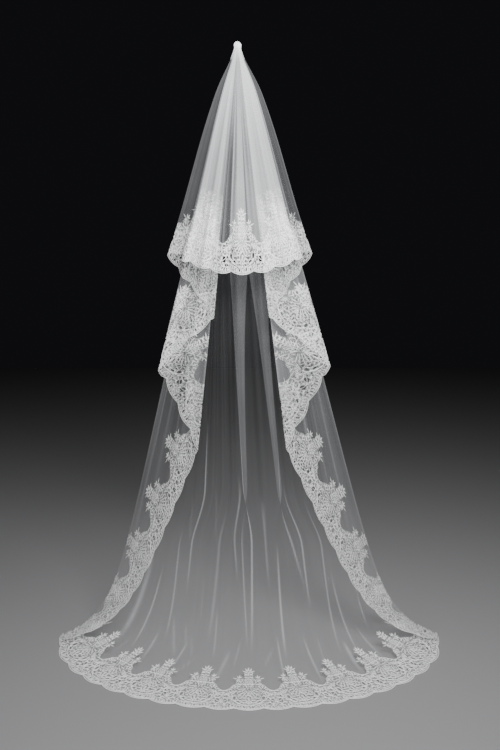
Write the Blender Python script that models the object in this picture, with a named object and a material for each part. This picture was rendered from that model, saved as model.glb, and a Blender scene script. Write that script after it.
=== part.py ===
"""Bridal drop veil: one rounded oblong of tulle with a lace border, held up at one gathered point.

The flat cut lies in a plane with the held point at its origin and the train along +Y. Every flat
point has a polar angle (0 at the train's centre line, 180 degrees at the blusher's) and a distance
from the held point. Each stretch of the veil is a sector of that cut between two fold lines. It is
triangulated flat, with the lace outline and its openings as edges, then hung point by point:
straight down from the held point, round a soft bend and out over the floor. Stretches that fold
over each other stand one level further forward each.
Metres, +Z up, origin at the held point, the front faces -Y, the floor is at FLOOR_Z.
"""

from collections import namedtuple

import bpy
import numpy as np
from mathutils import Vector
from mathutils.geometry import delaunay_2d_cdt

# Flat cut of the whole veil
HALF_WIDTH = 0.745
TRAIN_LENGTH = 2.34
TRAIN_END_RADIUS = 0.88
TRAIN_CORNER_RADIUS = 0.22
BLUSHER_SIDE_LENGTH = 0.745
BLUSHER_LENGTH = 0.757
NARROWING = 0.107
NARROWING_FROM = 1.9

# Lace border
REPEATS_PER_HALF = 22
SCALLOPS_PER_REPEAT = 2.0
SCALLOP_DEPTH = 0.010
SCALLOP_STEPS = 4
SCALLOP_ROUNDNESS = 0.8
PLEAT_LACE_HEIGHT = 0.10

# Cloth as solid walls
WALL = 0.001
SEAM_GAP = 0.0004
LEVEL_STEP = 0.00145
WALL_START = 0.060

# How the veil hangs
FLOOR_Z = -2.0
STACK_SHIFT = 0.010
SLOPE_MIDDLE = 0.018
SLOPE_SPREAD = 0.2515
FORWARD_CENTRE = 0.10
FORWARD_SIDE = 0.035
BEND_CENTRE = 0.10
BEND_SIDE = 0.12
HEM_MIDDLE = (0.038, -0.080)
HEM_HALF_WIDTH = 0.670
HEM_REACH = 0.455
CORNER_ANGLE = 19.0

# Fold lines of each side from the train's corner round to the blusher: flat angle in degrees,
# sideways slope on the left and on the right, forward slope
Fold = namedtuple("Fold", "angle left right forward")
CORNER = Fold(CORNER_ANGLE, -0.233, 0.270, 0.035)
LOW_INNER = Fold(32.5, -0.096, 0.120, 0.157)
OUTER = Fold(40.5, -0.250, 0.297, 0.112)
HIGH_INNER = Fold(49.9, -0.082, 0.114, 0.187)
TIP = Fold(70.15, -0.338, 0.364, 0.125)
SIDE_INNER = Fold(85.5, -0.090, 0.122, 0.202)
FRONT = Fold(161.4, -0.256, 0.304, 0.186)

# Deep pleats behind the front fall: slopes of their outer folds on the left and on the right,
# forward slope of the first outer fold, and how much further forward each fold lies than the last
PLEAT_LAYERS = 7
PLEAT_COLUMNS = 4
PLEAT_OUTER = Fold(90.0, -0.247, 0.292, 0.160)
PLEAT_INNER_ADVANCE = 0.0040
PLEAT_OUTER_ADVANCE = 0.0030
FRONT_BULGE = 0.085
FRONT_HITCH = 0.038
HITCH_FROM = 0.15
HITCH_TO = 0.65
FRONT_WAVES = 4
FRONT_WAVE_HEIGHT = 0.005
FRONT_WAVE_FROM = 0.45
FRONT_WAVE_TO = 0.60

# Two pleats of the back panel: flat angle of the middle, sideways slope of the middle near the
# held point and near the floor
BackPleat = namedtuple("BackPleat", "angle slope_top slope_low")
BACK_PLEATS = (BackPleat(0.0, 0.000, 0.018), BackPleat(5.2, 0.083, 0.096))
BACK_PLEAT_TURN = 1.25
BACK_PLEAT_LIP = 0.12
BACK_PLEAT_WIDEST = 0.085
BACK_PLEAT_SHRINK = 0.0332
BACK_PLEAT_SHIFT_FROM = 0.8
BACK_PLEAT_SHIFT_TO = 1.6
BESIDE_LEFT = (-2.4, -0.030)
BESIDE_RIGHT = (3.0, 0.022)
UNFOLD_FROM = 1.45
UNFOLD_TO = 1.65
LEVEL_OFF = 1.85

# Shallow flutes above the floor, and the room the lowest folded stretch takes beside its fold
FLUTES = 5
FLUTE_HEIGHT = 0.006
FLUTE_EDGE = 4.0
CORNER_BILLOW = 0.014
CORNER_EASE = 0.0018

# Half of one lace repeat from the valley to the tall spray: share of the repeat from the spray's
# middle, height above the hem
Outline = namedtuple("Outline", "share height")
HALF_SPRAY = (
    Outline(0.500, 0.093),
    Outline(0.420, 0.097),
    Outline(0.350, 0.112),
    Outline(0.315, 0.124),
    Outline(0.285, 0.120),
    Outline(0.262, 0.150),
    Outline(0.215, 0.168),
    Outline(0.165, 0.160),
    Outline(0.120, 0.158),
    Outline(0.095, 0.180),
    Outline(0.085, 0.196),
    Outline(0.040, 0.206),
)
SPRAY_TOP = Outline(0.0, 0.210)

# Openings of half a lace repeat, mirrored for the other half: share of the repeat from the
# spray's middle, height of the middle above the hem, half width, half height, lean in degrees
Opening = namedtuple("Opening", "share height half_width half_height lean")
HALF_OPENINGS = (
    Opening(0.428, 0.043, 0.0065, 0.0120, 20.0),
    Opening(0.275, 0.056, 0.0052, 0.0095, 24.0),
    Opening(0.185, 0.040, 0.0050, 0.0095, 52.0),
    Opening(0.080, 0.015, 0.0045, 0.0080, -52.0),
)
OPENING_SIDES = 5
OPENING_MARGIN = 0.008

# Where the walls have rows of points, as distances from the held point, and how near an outline
# no such point lies
SHORT_ROWS = np.array([0.4])
FRONT_ROWS = np.array([0.3, 0.5])
LONG_ROWS = np.array([0.5, 1.0, 1.5, 1.7, 1.85, 1.95, 2.03])
PLEAT_ROWS = np.array([0.6, 0.8, 1.0, 1.25, 1.45, 1.55, 1.65, 1.75])
PANEL_ROWS = np.array([1.0, 1.25, 1.5, 1.7, 1.85, 1.95, 2.03, 2.1])
FRONT_COLUMNS = 15
PANEL_STEP = 1.55
CLEAR_OF_OUTLINE = 0.016
CLEAR_OF_HEM = 0.02

# Gathered point, as rings from its top down to its seat just above the walls' top edges
Ring = namedtuple("Ring", "height half_width half_depth middle_y flute")
CROWN_SIDES = 36
CROWN_FLUTES = 12
CROWN_SEAT = -0.05685
CROWN_RINGS = (
    Ring(0.013, 0.0060, 0.0050, 0.000, 0.00),
    Ring(0.010, 0.0115, 0.0100, 0.000, 0.04),
    Ring(0.003, 0.0140, 0.0120, 0.000, 0.08),
    Ring(-0.005, 0.0125, 0.0110, -0.001, 0.10),
    Ring(-0.013, 0.0105, 0.0095, -0.002, 0.12),
    Ring(-0.024, 0.0120, 0.0110, -0.004, 0.12),
    Ring(-0.040, 0.0165, 0.0135, -0.007, 0.10),
    Ring(CROWN_SEAT, 0.0220, 0.0170, -0.0105, 0.08),
)

CORNER_X = HALF_WIDTH - TRAIN_CORNER_RADIUS
END_CENTRE_Y = TRAIN_LENGTH - TRAIN_END_RADIUS
CORNER_RISE = np.sqrt((TRAIN_END_RADIUS - TRAIN_CORNER_RADIUS) ** 2 - CORNER_X ** 2)
CORNER_Y = END_CENTRE_Y + CORNER_RISE
JOIN_ANGLE = np.arctan2(CORNER_X, CORNER_RISE)
BLUSHER_MEAN = (BLUSHER_SIDE_LENGTH + BLUSHER_LENGTH) / 2
END_EDGE = TRAIN_END_RADIUS * JOIN_ANGLE
CORNER_EDGE = END_EDGE + TRAIN_CORNER_RADIUS * (np.pi / 2 - JOIN_ANGLE)
SIDE_EDGE = CORNER_EDGE + CORNER_Y
HALF_EDGE = SIDE_EDGE + BLUSHER_MEAN * np.pi / 2
REPEAT = HALF_EDGE / REPEATS_PER_HALF
SCALLOP = REPEAT / SCALLOPS_PER_REPEAT
SIDE_LEVEL = 5
FRONT_LEVEL = SIDE_LEVEL + 1 + PLEAT_LAYERS
ROUNDING = 1e-6


def clear_scene():
    for obj in list(bpy.data.objects):
        bpy.data.objects.remove(obj, do_unlink=True)


def cloth_material(name, colour, roughness):
    material = bpy.data.materials.new(name)
    material.use_nodes = True
    shader = material.node_tree.nodes["Principled BSDF"]
    shader.inputs["Base Color"].default_value = (*colour, 1.0)
    shader.inputs["Roughness"].default_value = roughness
    shader.inputs["Metallic"].default_value = 0.0
    return material


def flat_point(along, inward):
    """Flat point at a distance along the edge from the train's middle and a distance in from it.

    The edge is an arc at the train's end, a small arc at its corner, a straight side and a nearly
    round blusher, whose radius grows with the square of the sine of its angle. The whole cut then
    narrows evenly from NARROWING_FROM down to the held point and stays narrow from there on.
    """
    distance = np.abs(along)
    end = distance / TRAIN_END_RADIUS
    corner = JOIN_ANGLE + (distance - END_EDGE) / TRAIN_CORNER_RADIUS
    blusher = (distance - SIDE_EDGE) / BLUSHER_MEAN
    reach = BLUSHER_SIDE_LENGTH + (BLUSHER_LENGTH - BLUSHER_SIDE_LENGTH) * np.sin(blusher) ** 2
    where = [distance <= END_EDGE, distance <= CORNER_EDGE, distance <= SIDE_EDGE]
    out_x = np.select(where, [np.sin(end), np.sin(corner), 1.0], np.cos(blusher))
    out_y = np.select(where, [np.cos(end), np.cos(corner), 0.0], -np.sin(blusher))
    edge_x = np.select(
        where,
        [TRAIN_END_RADIUS * np.sin(end), CORNER_X + TRAIN_CORNER_RADIUS * np.sin(corner), HALF_WIDTH],
        reach * np.cos(blusher),
    )
    edge_y = np.select(
        where,
        [
            END_CENTRE_Y + TRAIN_END_RADIUS * np.cos(end),
            CORNER_Y + TRAIN_CORNER_RADIUS * np.cos(corner),
            CORNER_Y - (distance - CORNER_EDGE),
        ],
        -reach * np.sin(blusher),
    )
    side = np.where(along < 0, -1.0, 1.0)
    y = edge_y - inward * out_y
    width = 1.0 - NARROWING * (1.0 - np.clip(y / NARROWING_FROM, 0.0, 1.0))
    return np.stack([side * (edge_x - inward * out_x) * width, y], axis=-1)


def polar(points):
    """Flat angle in degrees, 0 at the train and rising past 180 beyond the blusher, and distance."""
    angle = np.degrees(np.arctan2(points[:, 0], points[:, 1]))
    angle = np.where((points[:, 1] < 0) & (points[:, 0] < 0), angle + 360.0, angle)
    return angle, np.hypot(points[:, 0], points[:, 1])


EDGE_SAMPLES = np.linspace(0.0, HALF_EDGE * 1.25, 4000)
EDGE_ANGLES, EDGE_REACH = polar(flat_point(EDGE_SAMPLES, np.zeros_like(EDGE_SAMPLES)))


def reach_at(angle):
    """Distance from the held point to the hem at a flat angle."""
    return np.interp(np.abs(angle), EDGE_ANGLES, EDGE_REACH)


def along_at(angle):
    """Distance along the edge of the hem point at a flat angle."""
    return np.sign(angle) * np.interp(np.abs(angle), EDGE_ANGLES, EDGE_SAMPLES)


def rise(value, low, high):
    """Smooth step from 0 at low to 1 at high."""
    share = np.clip((value - low) / (high - low), 0.0, 1.0)
    return share * share * (3.0 - 2.0 * share)


CORNER_REACH_X = reach_at(CORNER_ANGLE) * np.sin(np.radians(CORNER_ANGLE))


def bend_of(slope):
    """Bend width, floor run, knee distance and hem height of the line hung at a sideways slope."""
    turn = np.arcsin(np.clip((slope - SLOPE_MIDDLE) / SLOPE_SPREAD, -1.0, 1.0))
    forward = FORWARD_SIDE + (FORWARD_CENTRE - FORWARD_SIDE) * np.cos(turn) ** 2
    bend = BEND_SIDE + (BEND_CENTRE - BEND_SIDE) * np.cos(turn) ** 2
    knee_slope = SLOPE_MIDDLE + SLOPE_SPREAD * np.sin(turn)
    run_x = HEM_MIDDLE[0] + HEM_HALF_WIDTH * np.sin(turn) + FLOOR_Z * knee_slope
    run_y = HEM_MIDDLE[1] - HEM_REACH * np.cos(turn) - FLOOR_Z * forward
    run = np.hypot(run_x, run_y)
    knee = -FLOOR_Z * np.sqrt(1.0 + knee_slope ** 2 + forward ** 2)
    tail = bend * np.log(np.exp(run / bend) - 1.0)
    return forward, bend, run_x / run, run_y / run, knee, tail


def hang(slope, distance, lift, forward_slope=None):
    """Point hung at a sideways slope and a distance, lifted off the back panel's form.

    A hanging line runs straight from the held point. Past the knee it turns into a line along the
    floor: the run along the floor is bend * log(1 + exp(t / bend)), with t the distance past the
    knee, and the rest of the distance stays on the hanging line.
    """
    forward, bend, out_x, out_y, knee, tail = bend_of(slope)
    past = (distance - knee) / bend
    floor_run = bend * np.log1p(np.exp(past))
    down = distance - floor_run
    hem_down = knee + tail - bend * np.log1p(np.exp(tail / bend))
    length = np.sqrt(1.0 + slope ** 2 + forward ** 2)
    depth = FLOOR_Z + WALL / 2
    x = down * slope / length + floor_run * out_x
    y = -down * forward / length + floor_run * out_y + STACK_SHIFT
    knee_slope = np.clip(slope, SLOPE_MIDDLE - SLOPE_SPREAD, SLOPE_MIDDLE + SLOPE_SPREAD)
    knee_length = np.sqrt(1.0 + knee_slope ** 2 + forward ** 2)
    z = down / length * (depth / (hem_down / knee_length))
    laid = 1.0 / (1.0 + np.exp(-past))
    front = np.stack([np.zeros_like(x), -(1.0 - laid), laid], axis=-1)
    front /= np.linalg.norm(front, axis=-1, keepdims=True)
    if forward_slope is not None:
        lift = lift + (forward_slope - forward) * distance
    return np.stack([x, y, z], axis=-1) + front * lift[:, None]


def hem_distance(slope):
    """Length of the hanging line from the held point to the hem on the floor."""
    knee, tail = bend_of(slope)[4:]
    return knee + tail


def train_slope(angle):
    """Sideways slope of the back panel's lines where they lie free."""
    return SLOPE_MIDDLE + SLOPE_SPREAD * reach_at(angle) * np.sin(np.radians(angle)) / CORNER_REACH_X


def panel_knots(distance):
    """Knots of the back panel from left to right: flat angle, sideways slope, level.

    Each pleat runs to the right, turns back to the left on the next level and turns again. Its
    width falls with the cube of the distance from the held point.
    """
    width = np.minimum(BACK_PLEAT_SHRINK / np.maximum(distance, WALL_START) ** 3, BACK_PLEAT_WIDEST)
    shift = rise(distance, BACK_PLEAT_SHIFT_FROM, BACK_PLEAT_SHIFT_TO)
    centres = [p.slope_top + (p.slope_low - p.slope_top) * shift for p in BACK_PLEATS]
    right = centres[-1] + width / 2 + BESIDE_RIGHT[1]
    left = centres[0] - width / 2 + BESIDE_LEFT[1]
    knots = [(-CORNER.angle, CORNER.left, 0)]
    knots.append((BACK_PLEATS[0].angle - BACK_PLEAT_TURN + BESIDE_LEFT[0], left, 0))
    for pleat, centre in zip(BACK_PLEATS, centres):
        first = pleat.angle - BACK_PLEAT_TURN
        second = pleat.angle + BACK_PLEAT_TURN
        knots.append((first, centre + width / 2, 0))
        knots.append((first + BACK_PLEAT_LIP, centre + width / 2, 1))
        knots.append((second - BACK_PLEAT_LIP, centre - width / 2, 1))
        knots.append((second, centre - width / 2, 2))
    knots.append((BACK_PLEATS[-1].angle + BACK_PLEAT_TURN + BESIDE_RIGHT[0], right, 0))
    knots.append((CORNER.angle, CORNER.right, 0))
    return [np.array([np.broadcast_to(k[i], distance.shape) for k in knots]) for i in range(3)]


def train_point(angle, distance):
    """The back panel: two pleats of three layers that narrow downward, open out and level off."""
    knots, slopes, levels = panel_knots(distance)
    place = np.clip((knots <= angle + ROUNDING).sum(axis=0) - 1, 0, len(knots) - 2)
    pick = np.arange(len(angle))
    share = (angle - knots[place, pick]) / (knots[place + 1, pick] - knots[place, pick])
    slope = slopes[place, pick] + (slopes[place + 1, pick] - slopes[place, pick]) * share
    level = levels[place, pick] + (levels[place + 1, pick] - levels[place, pick]) * share
    slope = slope + (train_slope(angle) - slope) * rise(distance, UNFOLD_FROM, UNFOLD_TO)
    level = level * (1.0 - rise(distance, UNFOLD_TO, LEVEL_OFF))
    flute = FLUTE_HEIGHT * rise(distance, 1.0, 1.5) * (1.0 - rise(distance, 1.9, 2.1))
    flute = flute * (1.0 - rise(np.abs(angle), CORNER.angle - FLUTE_EDGE, CORNER.angle - 1.0))
    wave = flute * (1.0 + np.cos(np.pi * FLUTES * angle / CORNER.angle))
    stretch = hem_distance(train_slope(angle)) / reach_at(angle)
    return hang(slope, distance * stretch, level * LEVEL_STEP + wave)


def slope_of(fold, side):
    """Sideways slope of a fold on the left, side -1, or on the right, side 1."""
    return fold.left if side < 0 else fold.right


def fold_stretch(side, start, end, level):
    """Function that hangs the stretch between two fold lines of one side at a level."""
    low, high = slope_of(start, side), slope_of(end, side)

    def point(angle, distance):
        share = (np.abs(angle) - start.angle) / (end.angle - start.angle)
        slope = low + (high - low) * share
        forward = start.forward + (end.forward - start.forward) * share
        return hang(slope, distance, np.full_like(slope, level * LEVEL_STEP), forward)

    return point


def corner_stretch(side):
    """Function that hangs the stretch beside the train's corner, which swells beside its fold."""
    plain = slope_of(CORNER, side), slope_of(LOW_INNER, side)
    corner = hem_distance(np.array([plain[0]]))[0] / reach_at(CORNER.angle)

    def point(angle, distance):
        share = (np.abs(angle) - CORNER.angle) / (LOW_INNER.angle - CORNER.angle)
        slope = plain[0] + (plain[1] - plain[0]) * share
        forward = CORNER.forward + (LOW_INNER.forward - CORNER.forward) * share
        beside = rise(share, 0.0, 0.12) * (1.0 - rise(share, 0.4, 0.9))
        lift = LEVEL_STEP + CORNER_BILLOW * beside * rise(distance, 1.1, 1.7)
        lift = lift + CORNER_EASE * (1.0 - rise(share, 0.1, 0.6)) * rise(distance, 0.9, 1.4)
        return hang(slope, distance * (corner + (1.0 - corner) * share), lift, forward)

    return point


def hitched(distance, share):
    """Distances drawn up toward the held point, wholly where the share is 1."""
    return distance * (1.0 - FRONT_HITCH * share * rise(distance, HITCH_FROM, HITCH_TO))


def front_point(angle, distance):
    """The front fall: it bulges forward between its two side folds, with shallow waves.

    Its side folds are drawn up a little, so that its hem dips toward the middle.
    """
    share = (angle - FRONT.angle) / (360.0 - 2.0 * FRONT.angle)
    slope = FRONT.right + (FRONT.left - FRONT.right) * share
    bulge = 4.0 * share * (1.0 - share)
    wave = FRONT_WAVE_HEIGHT * bulge * np.sin(2.0 * np.pi * FRONT_WAVES * share)
    wave = wave * (1.0 - rise(distance, FRONT_WAVE_FROM, FRONT_WAVE_TO))
    forward = FRONT.forward + FRONT_BULGE * bulge + wave
    drawn = hitched(distance, 1.0 - bulge)
    return hang(slope, drawn, np.full_like(slope, FRONT_LEVEL * LEVEL_STEP), forward)


def spray_outline(low, high):
    """Flat points of the lace's inner outline between two distances along the edge."""
    rising = [Outline(-row.share, row.height) for row in HALF_SPRAY]
    rows = rising + [SPRAY_TOP] + list(reversed(HALF_SPRAY[1:]))
    numbers = range(int(np.floor(low / REPEAT)) - 1, int(np.ceil(high / REPEAT)) + 2)
    along = [(number + row.share) * REPEAT for number in numbers for row in rows]
    inward = [row.height for number in numbers for row in rows]
    return flat_point(np.array(along), np.array(inward))


def hem_outline(low, high):
    """Flat points of the scalloped hem between two distances along the edge."""
    first = int(np.floor(low / SCALLOP)) - 2
    last = int(np.ceil(high / SCALLOP)) + 2
    steps = np.arange(first * SCALLOP_STEPS, last * SCALLOP_STEPS + 1)
    along = (steps / SCALLOP_STEPS + 0.5) * SCALLOP
    inward = SCALLOP_DEPTH * (1.0 - np.abs(np.cos(np.pi * along / SCALLOP)) ** SCALLOP_ROUNDNESS)
    return flat_point(along, inward)


def openings(low, high):
    """Flat outlines of the lace's openings, an even polygon stretched and leaned for each row."""
    corners = np.linspace(0.0, 2.0 * np.pi, OPENING_SIDES, endpoint=False) + np.pi / 2
    rows = HALF_OPENINGS + tuple(r._replace(share=-r.share, lean=-r.lean) for r in HALF_OPENINGS)
    found = []
    for number in range(int(np.floor(low / REPEAT)) - 1, int(np.ceil(high / REPEAT)) + 2):
        for row in rows:
            lean = np.radians(row.lean)
            across = row.half_width * np.cos(corners)
            up = row.half_height * np.sin(corners)
            along = (number + row.share) * REPEAT + across * np.cos(lean) - up * np.sin(lean)
            inward = row.height + across * np.sin(lean) + up * np.cos(lean)
            found.append(flat_point(along, inward))
    return found


def inside(points, polygon):
    """Even-odd test of each point against a closed polygon."""
    after = np.roll(polygon, -1, axis=0)
    x = points[:, 0][:, None]
    y = points[:, 1][:, None]
    crosses = (polygon[:, 1] > y) != (after[:, 1] > y)
    height = np.where(after[:, 1] == polygon[:, 1], 1.0, after[:, 1] - polygon[:, 1])
    crossing = polygon[:, 0] + (y - polygon[:, 1]) * (after[:, 0] - polygon[:, 0]) / height
    return (crosses & (x < crossing)).sum(axis=1) % 2 == 1


def nearest(points, others):
    """Distance from each point to the nearest of the others."""
    return np.sqrt(((points[:, None, :] - others[None, :, :]) ** 2).sum(axis=2)).min(axis=1)


def ray(angle, distances):
    """Flat points of the line at a flat angle, at these distances from the held point."""
    turned = np.radians(angle)
    return np.stack([np.sin(turned) * distances, np.cos(turned) * distances], axis=-1)


def largest_part(faces, chosen):
    """The chosen faces that hang together by edges in the largest group."""
    index = np.flatnonzero(chosen)
    owner = {}
    label = {face: face for face in index}

    def root(face):
        while label[face] != face:
            label[face] = label[label[face]]
            face = label[face]
        return face

    for face in index:
        corners = faces[face]
        for a, b in ((0, 1), (1, 2), (2, 0)):
            key = tuple(sorted((corners[a], corners[b])))
            if key in owner:
                label[root(face)] = root(owner[key])
            owner[key] = face
    roots = np.array([root(face) for face in index])
    values, counts = np.unique(roots, return_counts=True)
    kept = np.zeros(len(faces), bool)
    kept[index[roots == values[counts.argmax()]]] = True
    return kept


def triangulate(lines, loose):
    """Constrained triangulation of polylines, each (points, closed), and loose points."""
    points, edges = [], []
    for line, closed in lines:
        first = len(points)
        points += [Vector(p) for p in line]
        edges += [(first + i, first + i + 1) for i in range(len(line) - 1)]
        if closed:
            edges.append((first + len(line) - 1, first))
    points += [Vector(p) for p in loose]
    made = delaunay_2d_cdt(points, edges, [], 0, ROUNDING, False)
    return np.array([tuple(v) for v in made[0]]), np.array([tuple(f) for f in made[2]])


def seam_shifted(points, faces, other_faces):
    """The part's own points, split where it only touches itself, and moved in at the shared seam."""
    pairs = ((0, 1), (1, 2), (2, 0))
    seam = {tuple(sorted((face[a], face[b]))) for face in other_faces for a, b in pairs}
    around = {}
    for number, face in enumerate(faces):
        for corner in face:
            around.setdefault(corner, []).append(number)
    new_points, new_faces = [], np.array(faces)
    for corner, users in around.items():
        fans = []
        left = set(users)
        while left:
            fan, queue = set(), [left.pop()]
            while queue:
                face = queue.pop()
                fan.add(face)
                mine = set(faces[face]) - {corner}
                linked = {f for f in left if mine & (set(faces[f]) - {corner})}
                left -= linked
                queue += linked
            fans.append(fan)
        for fan in fans:
            inward = np.zeros(2)
            normals = []
            for face in fan:
                tri = list(faces[face])
                here = tri.index(corner)
                for other in (tri[(here + 1) % 3], tri[(here + 2) % 3]):
                    if tuple(sorted((corner, other))) in seam:
                        third = [t for t in tri if t not in (corner, other)][0]
                        line = points[other] - points[corner]
                        normal = np.array([-line[1], line[0]])
                        normal /= np.linalg.norm(normal)
                        if normal @ (points[third] - points[corner]) < 0:
                            normal = -normal
                        normals.append(normal)
            if normals:
                inward = np.sum(normals, axis=0)
                size = np.linalg.norm(inward)
                inward = normals[0] if size < 0.2 else inward / size
                inward = inward / max(inward @ normals[0], 0.5) * SEAM_GAP / 2
            for face in fan:
                new_faces[face][list(faces[face]).index(corner)] = len(new_points)
            new_points.append(points[corner] + inward)
    return np.array(new_points), new_faces


def cloth_object(name, points, faces, material):
    """One wall of cloth: a mesh of its middle surface with half the thickness on each side."""
    mesh = bpy.data.meshes.new(name)
    mesh.from_pydata([tuple(p) for p in points], [], [tuple(int(i) for i in f) for f in faces])
    mesh.update()
    obj = bpy.data.objects.new(name, mesh)
    bpy.context.scene.collection.objects.link(obj)
    mesh.materials.append(material)
    wall = obj.modifiers.new("wall", "SOLIDIFY")
    wall.thickness = WALL
    wall.offset = 0.0
    wall.use_even_offset = True
    wall.use_quality_normals = True
    return obj


def placed_openings(low, high, first, last):
    """The openings that lie whole between two fold angles, clear of both folds."""
    kept = []
    for opening in openings(first, last):
        angle, distance = polar(opening)
        margin = np.degrees(OPENING_MARGIN / distance)
        if ((angle > low + margin) & (angle < high - margin)).all():
            kept.append(opening)
    return kept


def loose_points(columns, outlines):
    """Flat points along the columns that lie clear of the outlines, the hem and the held point."""
    points = np.concatenate([ray(angle, rows) for angle, rows in columns])
    points = points[nearest(points, np.concatenate(outlines)) > CLEAR_OF_OUTLINE]
    angle, distance = polar(points)
    return points[(distance < reach_at(angle) - CLEAR_OF_HEM) & (distance > WALL_START * 1.5)]


def stretch_pieces(name, low, high, hung, columns, materials):
    """The tulle and the lace of one stretch, cut flat between two fold angles and then hung.

    Each column is a flat angle and the distances of its points from the held point.
    """
    ends = along_at(low), along_at(high)
    first = min(ends) - 3 * REPEAT
    last = max(ends) + 3 * REPEAT
    hem = hem_outline(first, last)
    sprays = spray_outline(first, last)
    holes = placed_openings(low, high, first, last)
    loose = loose_points(columns, [hem, sprays] + holes)
    rows = np.unique(np.concatenate([column_rows for _, column_rows in columns]))
    radii = np.concatenate([[WALL_START], rows, [1.2 * TRAIN_LENGTH]])
    top_angles = sorted({low, high, *(angle for angle, _ in columns)})
    top = np.concatenate([ray(angle, np.array([WALL_START])) for angle in top_angles])
    lines = [(hem, False), (sprays, False), (top, False)]
    lines += [(ray(low, radii), False), (ray(high, radii), False)]
    lines += [(hole, True) for hole in holes]
    points, faces = triangulate(lines, loose)

    centre = points[faces].mean(axis=1)
    angle, distance = polar(centre)
    held_point = np.zeros((1, 2))
    in_sheet = inside(centre, np.concatenate([hem, held_point]))
    in_sheet &= (angle > low) & (angle < high) & (distance > WALL_START)
    in_tulle = inside(centre, np.concatenate([sprays, held_point]))
    for hole in holes:
        in_sheet &= ~inside(centre, hole)
    lace = largest_part(faces, in_sheet & ~in_tulle)
    tulle = largest_part(faces, in_sheet & ~lace)
    lace = largest_part(faces, in_sheet & ~tulle)
    for kind, mine, other in (("tulle", tulle, lace), ("lace", lace, tulle)):
        flat, cut = seam_shifted(points, faces[mine], faces[other])
        angle, distance = polar(flat)
        hung_points = hung(np.clip(angle, low, high), np.maximum(distance, WALL_START))
        cloth_object(f"{name}_{kind}", hung_points, cut, materials[kind])


def pleat_folds(side):
    """Sideways and forward slope of each fold of one side's deep pleats, inner and outer in turn."""
    folds = []
    for number in range(PLEAT_LAYERS):
        if number % 2 == 0:
            forward = SIDE_INNER.forward + PLEAT_INNER_ADVANCE * number
            folds.append((slope_of(SIDE_INNER, side), forward))
        else:
            forward = PLEAT_OUTER.forward + PLEAT_OUTER_ADVANCE * number
            folds.append((slope_of(PLEAT_OUTER, side), forward))
    folds.append((slope_of(FRONT, side), FRONT.forward))
    return np.array(folds)


def pleat_pieces(name, side, materials):
    """The deep pleats between the side layer and the front fall, as one zigzag wall and its lace.

    Each layer runs between an inner and an outer fold, one level further forward than the last.
    """
    folds = pleat_folds(side)
    layer = np.repeat(np.arange(PLEAT_LAYERS), PLEAT_COLUMNS)
    share = np.tile(np.linspace(0.0, 1.0, PLEAT_COLUMNS), PLEAT_LAYERS)
    slopes, forwards = (folds[layer] + (folds[layer + 1] - folds[layer]) * share[:, None]).T
    lift = (SIDE_LEVEL + 1 + layer) * LEVEL_STEP
    angle = SIDE_INNER.angle + (FRONT.angle - SIDE_INNER.angle) * (layer + share) / PLEAT_LAYERS
    hem = reach_at(angle) - SCALLOP_DEPTH / 2
    seam = reach_at(angle) - PLEAT_LACE_HEIGHT
    bands = {
        "tulle": (np.full_like(seam, WALL_START), seam - SEAM_GAP / 2),
        "lace": (seam + SEAM_GAP / 2, hem),
    }
    count = len(slopes)
    faces = [(i, i + 1, count + i + 1, count + i) for i in range(count - 1)]
    drawn = np.where(layer == PLEAT_LAYERS - 1, share, 0.0)
    for kind, band in bands.items():
        edges = [hitched(edge, drawn) for edge in band]
        points = np.concatenate([hang(slopes, edge, lift, forwards) for edge in edges])
        cloth_object(f"{name}_{kind}", points, faces, materials[kind])


def crown_gather(material):
    """The held point: rings of a fluted oval, its radius 1 + flute * cos(flutes * angle), lofted."""
    turn = np.linspace(0.0, 2.0 * np.pi, CROWN_SIDES, endpoint=False)
    points = []
    for ring in CROWN_RINGS:
        swell = 1.0 + ring.flute * np.cos(CROWN_FLUTES * turn)
        x = ring.half_width * swell * np.cos(turn)
        y = ring.middle_y + ring.half_depth * swell * np.sin(turn)
        points += list(zip(x, y, np.full_like(turn, ring.height)))
    faces = []
    for start in range(0, len(points) - CROWN_SIDES, CROWN_SIDES):
        for i in range(CROWN_SIDES):
            a = start + i
            b = start + (i + 1) % CROWN_SIDES
            faces.append((a, a + CROWN_SIDES, b + CROWN_SIDES, b))
    faces.append(tuple(range(CROWN_SIDES)))
    faces.append(tuple(reversed(range(len(points) - CROWN_SIDES, len(points)))))
    mesh = bpy.data.meshes.new("crown_gather")
    mesh.from_pydata([tuple(float(c) for c in p) for p in points], [], faces)
    mesh.materials.append(material)
    obj = bpy.data.objects.new("crown_gather", mesh)
    bpy.context.scene.collection.objects.link(obj)


def fan(low, high, count, rows):
    """Columns of points evenly spaced between two fold angles."""
    return [(angle, rows) for angle in np.linspace(low, high, count + 2)[1:-1]]


def panel_columns():
    """Columns of the back panel: at both turns of each pleat, and evenly over the plain cloth."""
    columns = []
    pleated = np.concatenate([PLEAT_ROWS, PANEL_ROWS])
    for pleat in BACK_PLEATS:
        for turn in (BACK_PLEAT_TURN, -BACK_PLEAT_TURN):
            lip = pleat.angle + turn - np.sign(turn) * BACK_PLEAT_LIP
            columns += [(pleat.angle + turn, pleated), (lip, pleated)]
    between = (BACK_PLEATS[0].angle + BACK_PLEATS[1].angle) / 2
    left = np.arange(PANEL_STEP - CORNER.angle, BACK_PLEATS[0].angle - BACK_PLEAT_TURN, PANEL_STEP)
    right = np.arange(CORNER.angle - PANEL_STEP, BACK_PLEATS[-1].angle + BACK_PLEAT_TURN, -PANEL_STEP)
    columns += [(angle, PANEL_ROWS) for angle in (*left, between, *right)]
    return columns


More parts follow.
